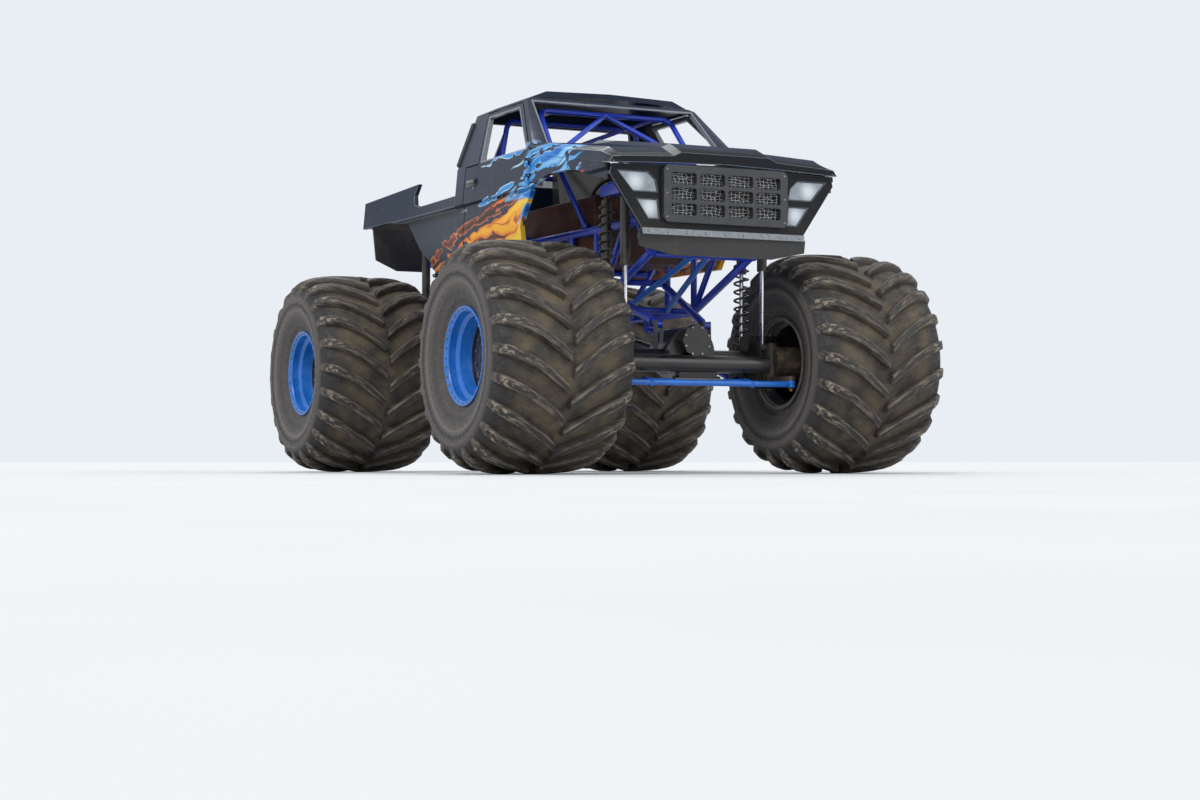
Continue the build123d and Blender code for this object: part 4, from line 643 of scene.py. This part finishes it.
# Chassis: welded round tube in deep blue enamel, with brighter blue stays to the nose. The roll cage is
# of the same tube, welded to the side frames.
refined("frame_side_left", "side_frame_left", frame_blue, "frame_blue")
refined("frame_side_right", "side_frame_right", frame_blue, "frame_blue")
refined("frame_cross_tubes", "cross_tubes_welded", frame_blue, "frame_blue")
refined("roll_cage", "roll_cage_welded", frame_blue, "frame_blue")
refined("frame_stays", "nose_stays", stay_blue, "stay_blue")


# Drive: a painted iron block with a polished blower on its belt and heat tinted pipes, and a cast
# transfer case. They are bolted between the side frames.

# Brushed on iron paint: dark grey, dull and dusty
engine_iron = worn_coat("engine_iron_paint", "232427", "5A5856", dust=0.20, gloss=0.45)
# Polished cast aluminium: a soft bright grey, clouded in broad patches
polished = mottled_finish("polished_aluminium", "8C8B88", "C9C8C5", 90, detail=5.0, Metallic=1.0,
                          Roughness=0.28)
# Corded rubber: dull and near black
belt_rubber = mottled_finish("belt_rubber", "141414", "302F2E", 10, Roughness=0.62, IOR=1.5)
# Steel tinted by heat: brown to straw yellow metal
header_steel = mottled_finish("heat_tinted_steel", "5E5148", "A98F6A", 120, detail=4.0, Metallic=1.0,
                              Roughness=0.34)
refined("engine", "engine_block", engine_iron, "engine_iron", 0.004)
belt_reach = 0.056
shape = merged_copy("supercharger")
blower_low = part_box("supercharger")[0]
for face in shape.faces:
    spot = face.calc_center_median()
    face.material_index = int(spot.x < blower_low.x + belt_reach and abs(face.normal.x) < 0.5)
stand_in("supercharger", "blower_case", shape, "polished", polished, belt_rubber)
refined("exhaust_headers", "header_pipes", header_steel, "header_steel")
refined("transfer_case", "transfer_case_cast", polished, "polished", 0.005)


# Fuel cell: a red painted steel tank under two rubber faced straps, with a screwed aluminium cap on its
# top. It sits on the frame's cross tubes, inside the open bed.

# Sprayed paint on sheet steel: a clean glossy red
cell_red = worn_coat("fuel_cell_red", "8E1410", "C55A48", dust=0.10)
refined("fuel_cell", "fuel_cell_tank", cell_red, "cell_red", 0.008)
strap_width, strap_thick, strap_drop, strap_inset = 0.040, 0.006, 0.280, 0.10
strap_middle = 0.138
cap_side = 0.16
cell_low, cell_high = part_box("fuel_cell")
shape = bmesh.new()
for x in (cell_low.x + strap_inset, cell_high.x - strap_inset):
    over = (strap_width, cell_high.y - cell_low.y + 0.004, strap_thick)
    down = (strap_width, strap_thick, strap_drop)
    for size, centre in ((over, (x, 0, cell_high.z)),
                         (down, (x, cell_low.y, cell_high.z - strap_middle)),
                         (down, (x, cell_high.y, cell_high.z - strap_middle))):
        bmesh.ops.create_cube(shape, size=1.0,
                              matrix=Matrix.Translation(centre) @ Matrix.Diagonal((*size, 1)))
add_piece("fuel_cell_straps", shape, "chassis", "trim_dark", belt_rubber)
shape = bmesh.new()
for radius, height in ((0.062, 0.010), (0.045, 0.026)):
    seat = ((cell_low.x + cell_high.x) / 2, cap_side, cell_high.z + height / 2)
    bmesh.ops.create_cone(shape, cap_ends=True, segments=40, radius1=radius, radius2=radius * 0.96,
                          depth=height, matrix=Matrix.Translation(seat))
add_piece("fuel_filler_cap", shape, "chassis", "polished", polished)


# Cockpit: a brown sheet metal tub, a moulded seat in black vinyl and a black steering wheel. The tub is
# riveted to the frame, and the seat is bolted in it.

# Sprayed paint on sheet metal: a dull red brown
tub_brown = worn_coat("tub_brown_paint", "4A2618", "7A5A48", dust=0.10, gloss=0.38)
# Moulded vinyl: black and dull, with a soft grain
seat_vinyl = worn_coat("seat_black_vinyl", "19191A", "3B3A39", dust=0.05, gloss=0.55)
refined("footwell_tub", "tub_sheet_metal", tub_brown, "tub_brown", 0.003)
refined("seat", "bucket_seat", seat_vinyl, "seat_black", 0.02)
refined("steering_wheel", "steering_wheel_grip", hub_black, "axle_black", 0.004)


# Shell: a pickup body in one fibreglass skin, sprayed slate with airbrushed flames that leave the front
# wheel arches and lick back over fenders and doors. Its edges are rubbed through to pale gelcoat by use.

# Flames: columns are pitch between tongues, rise per metre forwards, foot and head of the zone, length of
# the licks at its foot and at its head, colours of the core, the rim and the drawn line
flame_rows = [
    (0.190, 0.20, 1.60, 2.15, 2.60, 1.15, "2E1A18", "9A451E", "D98A4A"),
    (0.210, 0.16, 1.60, 2.18, 2.30, 0.72, "F5AE14", "DF6418", "5E2212"),
    (0.170, 0.20, 1.60, 2.10, 1.60, 0.40, "FFD133", "F3A316", "C2551A"),
    (0.150, 0.14, 2.10, 2.52, 1.30, 2.10, "136CC8", "3F9EE6", "BCD8EA"),
    (0.110, 0.22, 2.12, 2.46, 0.70, 1.50, "8CC6EE", "3F9CDE", "1A5FA8"),
    (0.120, 0.50, 1.60, 2.30, 0.09, 0.30, "1668C4", "4BA3E6", "B4D2E8"),
]
# Sprayed slate paint under thin lacquer: dark and satin, a little wavy, dullest on top where dust lies
shell_paint, tree, shader = new_finish("slate_flame_paint", IOR=1.5, Coat_Roughness=0.10)
place = add_node(tree, "ShaderNodeTexCoord").outputs["Object"]
along, aside, up = add_node(tree, "ShaderNodeSeparateXYZ", {0: place}).outputs
aside = add_node(tree, "ShaderNodeMath", {0: aside}, operation="ABSOLUTE")
on_side = add_node(tree, "ShaderNodeMapRange", {"Value": aside, "From Min": 0.80, "From Max": 0.88})
# The arch's lip, from which the flames leave: its rear edge and its top
rear_lip = add_node(tree, "ShaderNodeMapRange", {
    "Value": up, "From Min": 1.62, "From Max": 2.14, "To Min": 0.80, "To Max": 1.04})
top_lip = add_node(tree, "ShaderNodeMapRange", {
    "Value": up, "From Min": 2.12, "From Max": 2.25, "To Min": 1.04, "To Max": 2.15})
lip = add_node(tree, "ShaderNodeMath", {0: rear_lip, 1: top_lip}, operation="MAXIMUM")
behind = add_node(tree, "ShaderNodeMath", {0: lip, 1: along}, operation="SUBTRACT")
cloud = add_node(tree, "ShaderNodeTexNoise", {
    "Vector": place, "Scale": millimetres(420), "Detail": 5.0, "Roughness": 0.6})
# The paint's grain, drawn at 6 mm because a finer one would not show
fleck = add_node(tree, "ShaderNodeTexNoise", {
    "Vector": place, "Scale": millimetres(6), "Detail": 4.0, "Roughness": 0.65})
slate = add_node(tree, "ShaderNodeMix", {0: cloud, 6: linear("131B29"), 7: linear("2C394F")},
                 data_type="RGBA")
at_nose = add_node(tree, "ShaderNodeMapRange", {"Value": along, "From Min": 2.26, "From Max": 2.33})
painted = add_node(tree, "ShaderNodeMix", {0: at_nose, 6: slate, 7: linear("0E131B")}, data_type="RGBA")
# Gaps that break the tongues, drawn out along the truck, and the flames' end near the nose
drawn_out = add_node(tree, "ShaderNodeMapping", {"Vector": place, "Scale": (0.5, 1.0, 1.0)})
gaps = add_node(tree, "ShaderNodeTexNoise", {
    "Vector": drawn_out, "Scale": millimetres(95), "Detail": 1.5, "Distortion": 0.5})
eaten = add_node(tree, "ShaderNodeMapRange", {
    "Value": gaps, "From Min": 0.54, "From Max": 0.66, "To Max": 0.75})
front_tip = add_node(tree, "ShaderNodeMapRange", {
    "Value": along, "From Min": 1.58, "From Max": 2.10, "To Max": 1.5})
for number, (pitch, rise, foot, head, long_low, long_high, core, rim, line) in enumerate(flame_rows):
    # Tongues: parallel bands that fall a little towards the rear, bent by a slow curl
    curl = add_node(tree, "ShaderNodeTexNoise", {
        "Vector": place, "Scale": millimetres(360), "Detail": 1.0, "Distortion": 0.3, "Roughness": 0.4})
    across = add_node(tree, "ShaderNodeMath", {0: along, 1: -rise / pitch, 2: 1.7 * number},
                      operation="MULTIPLY_ADD")
    for share, weight in ((up, 1 / pitch), (curl, 0.24 / pitch)):
        across = add_node(tree, "ShaderNodeMath", {0: share, 1: weight, 2: across},
                          operation="MULTIPLY_ADD")
    tongue = add_node(tree, "ShaderNodeMath", {0: across, 1: 0.5}, operation="PINGPONG")
    ragged = add_node(tree, "ShaderNodeTexNoise", {"W": across, "Scale": 1.3, "Detail": 1.0},
                      noise_dimensions="1D")
    # What is left of a tongue: less towards its end, its edges, where it is ragged and in the gaps
    length = add_node(tree, "ShaderNodeMapRange", {
        "Value": up, "From Min": foot, "From Max": head, "To Min": long_low, "To Max": long_high})
    spent = add_node(tree, "ShaderNodeMath", {0: behind, 1: length}, operation="DIVIDE")
    spent = add_node(tree, "ShaderNodeMath", {0: spent, 1: front_tip}, operation="MAXIMUM")
    left = add_node(tree, "ShaderNodeMath", {0: 1.45, 1: spent}, operation="SUBTRACT")
    for share, weight in ((ragged, -0.95), (tongue, -1.9)):
        left = add_node(tree, "ShaderNodeMath", {0: share, 1: weight, 2: left}, operation="MULTIPLY_ADD")
    left = add_node(tree, "ShaderNodeMath", {0: left, 1: eaten}, operation="SUBTRACT")
    zone = add_node(tree, "ShaderNodeMapRange", {
        "Value": up, "From Min": foot - 0.01, "From Max": foot + 0.02})
    head_edge = add_node(tree, "ShaderNodeMapRange", {
        "Value": up, "From Min": head + 0.02, "From Max": head - 0.03})
    for share in (head_edge, on_side):
        zone = add_node(tree, "ShaderNodeMath", {0: zone, 1: share}, operation="MULTIPLY")
    # The drawn line lies just outside the tongue, the rim's colour inside it and the core's deepest
    drawn = add_node(tree, "ShaderNodeMapRange", {"Value": left, "From Min": -0.10, "From Max": -0.04})
    filled = add_node(tree, "ShaderNodeMapRange", {"Value": left, "From Min": 0.0, "From Max": 0.05})
    deep = add_node(tree, "ShaderNodeMapRange", {"Value": left, "From Min": 0.05, "From Max": 0.50})
    drawn = add_node(tree, "ShaderNodeMath", {0: drawn, 1: zone}, operation="MULTIPLY")
    filled = add_node(tree, "ShaderNodeMath", {0: filled, 1: zone}, operation="MULTIPLY")
    fire = add_node(tree, "ShaderNodeMix", {0: deep, 6: linear(rim), 7: linear(core)}, data_type="RGBA")
    painted = add_node(tree, "ShaderNodeMix", {0: drawn, 6: painted, 7: linear(line)}, data_type="RGBA")
    painted = add_node(tree, "ShaderNodeMix", {0: filled, 6: painted, 7: fire}, data_type="RGBA")
# Tan dust that hangs in the lower half, fine scratches along the truck and rubbed pale edges
dust_film = add_node(tree, "ShaderNodeMapRange", {
    "Value": up, "From Min": 2.3, "From Max": 1.6, "To Min": 0.02, "To Max": 0.16})
dust_film = add_node(tree, "ShaderNodeMath", {0: dust_film, 1: cloud}, operation="MULTIPLY")
stretch = add_node(tree, "ShaderNodeMapping", {"Vector": place, "Scale": (0.06, 1.0, 1.0)})
scratch = add_node(tree, "ShaderNodeTexNoise", {
    "Vector": stretch, "Scale": millimetres(9), "Detail": 3.0})
scratched = add_node(tree, "ShaderNodeMapRange", {
    "Value": scratch, "From Min": 0.66, "From Max": 0.74, "To Max": 0.22})
wear = add_node(tree, "ShaderNodeAttribute", attribute_name="edge_wear").outputs["Fac"]
wear_break = add_node(tree, "ShaderNodeMapRange", {
    "Value": fleck, "From Min": 0.36, "From Max": 0.58, "To Min": 0.25, "To Max": 1.0})
pale_edges = add_node(tree, "ShaderNodeMath", {0: wear, 1: wear_break}, operation="MULTIPLY")
for share, over in ((dust_film, "8E8475"), (scratched, "8F96A1"), (pale_edges, "A9AFB5")):
    painted = add_node(tree, "ShaderNodeMix", {0: share, 6: painted, 7: linear(over)}, data_type="RGBA")
# Window rims: lines round each opening as weights of along, aside and up, with each line's distance
mirrored = add_node(tree, "ShaderNodeCombineXYZ", {0: along, 1: aside, 2: up})
side_lines = (((0, 0, -1), -2.475), ((0, 0, 1), 2.852), ((0.6507, 0, 0.7594), 2.4749),
              ((-0.916, 0, -0.401), -1.0566))
screen_lines = (((0, 0, -1), -2.520), ((0, 0, 1), 2.893), ((0, 0.9893, 0.1459), 1.1145))
for lines, beside, least in ((side_lines, aside, 0.62), (screen_lines, along, 0.50)):
    beyond = None
    for weights, distance in lines:
        reach = add_node(tree, "ShaderNodeVectorMath", {0: mirrored, 1: weights},
                         operation="DOT_PRODUCT").outputs["Value"]
        reach = add_node(tree, "ShaderNodeMath", {0: reach, 1: distance}, operation="SUBTRACT")
        if beyond is not None:
            reach = add_node(tree, "ShaderNodeMath", {0: reach, 1: beyond}, operation="MAXIMUM")
        beyond = reach
    pale_rim = add_node(tree, "ShaderNodeMath", {0: beyond, 1: -0.03}, operation="GREATER_THAN")
    outer = add_node(tree, "ShaderNodeMapRange", {
        "Value": beyond, "From Min": 0.016, "From Max": 0.010, "To Max": 0.85})
    near = add_node(tree, "ShaderNodeMath", {0: beside, 1: least}, operation="GREATER_THAN")
    for share in (outer, near, wear_break):
        pale_rim = add_node(tree, "ShaderNodeMath", {0: pale_rim, 1: share}, operation="MULTIPLY")
    painted = add_node(tree, "ShaderNodeMix", {0: pale_rim, 6: painted, 7: linear("A3A8AC")},
                       data_type="RGBA")
# Painted shade: a dark band under the long step of the bed and doors, where its recess lies in shadow
step_painted_shade = add_node(tree, "ShaderNodeMapRange", {"Value": up, "From Min": 2.142, "From Max": 2.134})
step_foot = add_node(tree, "ShaderNodeMapRange", {"Value": up, "From Min": 2.070, "From Max": 2.120})
behind_door = add_node(tree, "ShaderNodeMapRange", {"Value": along, "From Min": 0.1, "From Max": -0.5})
for share in (step_foot, behind_door):
    step_painted_shade = add_node(tree, "ShaderNodeMath", {0: step_painted_shade, 1: share}, operation="MULTIPLY")
painted = add_node(tree, "ShaderNodeMix", {0: step_painted_shade, 6: painted, 7: linear("15130F")}, data_type="RGBA")
# Duller towards the rear and on upward faces, where the dust has settled
weathered = add_node(tree, "ShaderNodeMapRange", {
    "Value": along, "From Min": -0.5, "From Max": -1.6, "To Min": 0.20, "To Max": 0.50})
facing = add_node(tree, "ShaderNodeNewGeometry").outputs["True Normal"]
slant = add_node(tree, "ShaderNodeSeparateXYZ", {0: facing}).outputs["Z"]
settled = add_node(tree, "ShaderNodeMapRange", {"Value": slant, "From Min": 0.75, "From Max": 0.95})
dull = add_node(tree, "ShaderNodeMath", {0: cloud, 1: 0.22, 2: weathered}, operation="MULTIPLY_ADD")
dull = add_node(tree, "ShaderNodeMath", {0: dull, 1: settled}, operation="MAXIMUM")
shine = add_node(tree, "ShaderNodeMapRange", {"Value": settled, "To Min": 0.1, "To Max": 0.02})
waves = add_node(tree, "ShaderNodeBump", {"Strength": 0.6, "Distance": 0.012, "Height": cloud})
peel = add_node(tree, "ShaderNodeBump", {
    "Strength": 0.15, "Distance": 0.0006, "Height": fleck, "Normal": waves})
plug(shader, {"Base Color": painted, "Roughness": dull, "Coat Weight": shine,
              "Specular IOR Level": shine, "Normal": peel})


window_foot = 2.46
lip_from, lip_below = 2.33, 2.24
most_worn, least_worn = 0.85, 0.35


def worn_shell(node, piece, edge=0.006):
    """A skin's stand-in with rounded edges, marked where the paint is rubbed off: most round the windows
    and on the hood's front lip."""
    shape = merged_copy(node)
    wear = shape.faces.layers.float.new("edge_wear")
    sharp = [side for side in shape.edges
             if side.is_manifold and side.calc_face_angle(0) > math.radians(28)]
    strips = bmesh.ops.bevel(shape, geom=sharp, offset=edge, segments=2, profile=0.5, affect="EDGES",
                             material=-1, clamp_overlap=True)["faces"]
    for face in strips:
        spot = face.calc_center_median()
        lip = node == "hood" and spot.x > lip_from and spot.z < lip_below
        face[wear] = most_worn if lip or (spot.z > window_foot and node != "hood") else least_worn
    evened(stand_in(node, piece, shape, "shell_paint", shell_paint, keep_angle=38.0))


for node, piece in (("cab_shell", "cab_skin"), ("hood", "hood_skin"), ("front_fenders", "fender_skins"),
                    ("bed_sides", "bed_skins"), ("front_panel", "nose_skin"),
                    ("door_left", "door_skin_left"), ("door_right", "door_skin_right")):
    worn_shell(node, piece)


# Valance and rear corner panels: flat sheet in dull dusty black, folded at their edges and bolted on, the
# valance with a bare bright strip along its top.

# Sprayed paint on sheet: black and flat
sheet_black = worn_coat("sheet_black_paint", "17181A", "5C5C5C", dust=0.06, gloss=0.5)
# Mill finished aluminium: bare grey metal, scuffed in patches
bright_strip = mottled_finish("bare_aluminium_strip", "63676B", "9EA3A7", 25, detail=5.0, Metallic=1.0,
                              Roughness=0.36)
strip_from, strip_depth = 0.021, 0.046
shape = merged_copy("front_valance")
valance_low, valance_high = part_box("front_valance")
for face in shape.faces:
    spot = face.calc_center_median()
    face.material_index = int(spot.x > valance_low.x + strip_from and spot.z > valance_high.z - strip_depth)
stand_in("front_valance", "valance_sheet", shape, "shell_paint", sheet_black, bright_strip)
refined("bed_rear_panels", "bed_rear_sheets", sheet_black, "shell_paint", 0.003)


# Nose: a moulded grey grille frame bolted over a crumpled wire stone screen with a black sheet behind,
# and clear lamps with ribbed lenses, a highlight painted over each bowl.

# Grey enamel on moulded plastic: a low gloss, paler where it is chipped
grille_grey = worn_coat("grille_grey_enamel", "22262C", "8B9096", dust=0.05, gloss=0.34)
refined("grille", "grille_frame", grille_grey, "trim_dark", 0.004, segments=3)

# Moulded lens: pale grey and glossy, with a painted highlight over each bowl, and upright ribs
lens, tree, shader = new_finish("ribbed_lamp_lens", Roughness=0.12, IOR=1.49, Coat_Weight=0.6,
                                Coat_Roughness=0.05)
place = add_node(tree, "ShaderNodeTexCoord").outputs["Object"]
spot = add_node(tree, "ShaderNodeSeparateXYZ", {0: place}).outputs
aside = add_node(tree, "ShaderNodeMath", {0: spot["Y"]}, operation="ABSOLUTE")
flat_spot = add_node(tree, "ShaderNodeCombineXYZ", {1: aside, 2: spot["Z"]})
upper_bowl, lower_bowl = [
    add_node(tree, "ShaderNodeVectorMath", {0: flat_spot, 1: (0.0, bowl_y, bowl_z)},
             operation="DISTANCE").outputs["Value"] for bowl_y, bowl_z in ((0.715, 2.072), (0.600, 1.892))]
nearest = add_node(tree, "ShaderNodeMath", {0: upper_bowl, 1: lower_bowl}, operation="MINIMUM")
# Painted highlight: the lens colour turns near white towards the centre of each bowl
bowl_painted_highlight = add_node(tree, "ShaderNodeMapRange", {"Value": nearest, "From Min": 0.085, "From Max": 0.02})
haze = add_node(tree, "ShaderNodeTexNoise", {"Vector": place, "Scale": millimetres(45), "Detail": 4.0})
bowl = add_node(tree, "ShaderNodeMix", {0: haze, 6: linear("737C84"), 7: linear("A2ACB5")},
                data_type="RGBA")
lens_with_painted_highlight = add_node(tree, "ShaderNodeMix", {0: bowl_painted_highlight, 6: bowl, 7: linear("D3DAE0")}, data_type="RGBA")
# The wave repeats each tau / 20 of its scale, so the ribs come 88 mm apart, broad enough to show
ribs = add_node(tree, "ShaderNodeTexWave", {"Vector": place, "Scale": millimetres(14) / 20,
                                            "Distortion": 0.0}, bands_direction="Y").outputs["Fac"]
relief = add_node(tree, "ShaderNodeBump", {"Strength": 0.5, "Distance": 0.002, "Height": ribs})
plug(shader, {"Base Color": lens_with_painted_highlight, "Normal": relief})
refined("headlamps", "lamp_lenses", lens, "lamp", 0.004)

# Galvanised wire, woven and bent by stones: pale grey with a faint spangle, drawn thicker than it is so
# that it shows
wire_steel = mottled_finish("galvanised_wire", "CDD0D3", "FAFBFC", 30, Metallic=0.2, Roughness=0.4)
screen_width, screen_height, wire_thick = 0.94, 0.345, 0.0056
screen_behind, held_y, held_z = 0.006, 0.455, 0.165
bend_across, bend_up, bend_out = 0.018, 0.015, 0.014
screen_low, screen_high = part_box("grille")
screen_mid = (screen_low.z + screen_high.z) / 2
screen = bmesh.new()
bmesh.ops.create_grid(screen, x_segments=28, y_segments=16, size=0.5,
                      matrix=Matrix.Diagonal((screen_width, screen_height, 1, 1)))
for number, vert in enumerate(screen.verts):
    if abs(vert.co.x) > held_y or abs(vert.co.y) > held_z:
        continue
    bent = [(math.sin(number * turn) * 4375.85) % 1 - 0.5 for turn in (12.9898, 78.233, 37.719)]
    vert.co += Vector((bent[0] * bend_across, bent[1] * bend_up, bent[2] * bend_out))
screen.normal_update()
bmesh.ops.wireframe(screen, faces=screen.faces, thickness=wire_thick, use_replace=True,
                    use_even_offset=False, use_boundary=True)
upright = Matrix(((0, 0, 1, 0), (1, 0, 0, 0), (0, 1, 0, 0), (0, 0, 0, 1)))
bmesh.ops.transform(screen, verts=screen.verts,
                    matrix=Matrix.Translation((screen_low.x - screen_behind, 0, screen_mid)) @ upright)
add_piece("stone_screen", screen, "chassis", "trim_dark", wire_steel)
sheet_size, sheet_behind = (0.003, 0.962, 0.362), 0.028
sheet = bmesh.new()
sheet_place = Matrix.Translation((screen_low.x - sheet_behind, 0, screen_mid))
bmesh.ops.create_cube(sheet, size=1.0, matrix=sheet_place @ Matrix.Diagonal((*sheet_size, 1)))
add_piece("radiator_sheet", sheet, "chassis", "trim_dark", sheet_black)


# Nose fasteners: zinc button bolts of turned steel. Nine hold the valance's strip and six the grille
# frame, three down each of its sides.
bolt_height = 0.006
strip_face, strip_bolt_pitch, strip_middle = 2.372, 0.155, 1.722
grille_face, grille_bolt_side, grille_middle, grille_bolt_pitch = 2.400, 0.484, 1.995, 0.17
strip_bolts = [(strip_face, strip_bolt_pitch * step, strip_middle, 0.010) for step in range(-4, 5)]
grille_bolts = [(grille_face, side * grille_bolt_side, grille_middle + grille_bolt_pitch * step, 0.009)
                for side in (1, -1) for step in (-1, 0, 1)]
shape = bmesh.new()
for x, y, z, size in strip_bolts + grille_bolts:
    seat = Matrix.Translation((x + bolt_height / 2, y, z)) @ Matrix.Rotation(math.pi / 2, 4, "Y")
    bmesh.ops.create_cone(shape, cap_ends=True, segments=16, radius1=size, radius2=size * 0.6,
                          depth=bolt_height, matrix=seat)
add_piece("nose_bolts", shape, "chassis", "polished", bolt_steel, smooth_angle=25)


# Rear seals: a round bead of black rubber glued along each rear edge of the cab, from the belt to under
# the roof.

# Extruded rubber: black with a soft sheen, chalky in patches
seal_rubber = mottled_finish("seal_rubber", "151517", "323335", 40, detail=4.0, Roughness=0.55, IOR=1.5)
bead_radius = 0.020
cab_rear = -0.406
seal_foot, seal_head = (0.900, 2.500), (0.772, 2.835)
shape = bmesh.new()
for side in (1, -1):
    foot, head = [Vector((cab_rear, side * y, z)) for y, z in (seal_foot, seal_head)]
    run = head - foot
    seat = Matrix.Translation((foot + head) / 2) @ run.to_track_quat("Z", "X").to_matrix().to_4x4()
    bmesh.ops.create_cone(shape, cap_ends=True, segments=16, radius1=bead_radius, radius2=bead_radius,
                          depth=run.length, matrix=seat)
    for end in (foot, head):
        bmesh.ops.create_uvsphere(shape, u_segments=16, v_segments=8, radius=bead_radius,
                                  matrix=Matrix.Translation(end))
add_piece("cab_rear_seals", shape, "chassis", "trim_dark", seal_rubber, smooth_angle=40)


# Door handles: a bright bar in a black moulded surround with a black push button, riveted to the door's
# skin, and a bright round keyhole under each.

# Each block: size, centre, finish (0 bright, 1 black)
handle_blocks = (((0.185, 0.012, 0.060), (-0.075, 0.9335, 2.315), 1),
                 ((0.150, 0.014, 0.020), (-0.070, 0.9410, 2.326), 0),
                 ((0.026, 0.018, 0.034), (0.000, 0.9410, 2.318), 1))
keyhole, keyhole_radius, keyhole_depth, handle_round = (-0.025, 0.9345, 2.272), 0.013, 0.012, 0.0022
for side, body in ((1, "door_left"), (-1, "door_right")):
    shape = bmesh.new()
    for size, centre, finish in handle_blocks:
        block = bmesh.ops.create_cube(shape, size=1.0,
                                      matrix=Matrix.Translation(centre) @ Matrix.Diagonal((*size, 1)))
        for face in {face for vert in block["verts"] for face in vert.link_faces}:
            face.material_index = finish
    bmesh.ops.create_cone(shape, cap_ends=True, segments=20, radius1=keyhole_radius,
                          radius2=keyhole_radius, depth=keyhole_depth,
                          matrix=Matrix.Translation(keyhole) @ Matrix.Rotation(math.pi / 2, 4, "X"))
    bmesh.ops.bevel(shape, geom=shape.edges[:], offset=handle_round, segments=2, profile=0.5,
                    affect="EDGES", material=-1, clamp_overlap=True)
    if side < 0:
        bmesh.ops.scale(shape, vec=(1, -1, 1), verts=shape.verts)
    add_piece(f"{body}_handle", shape, body, "trim_dark", bright_strip, hub_black, smooth_angle=35)
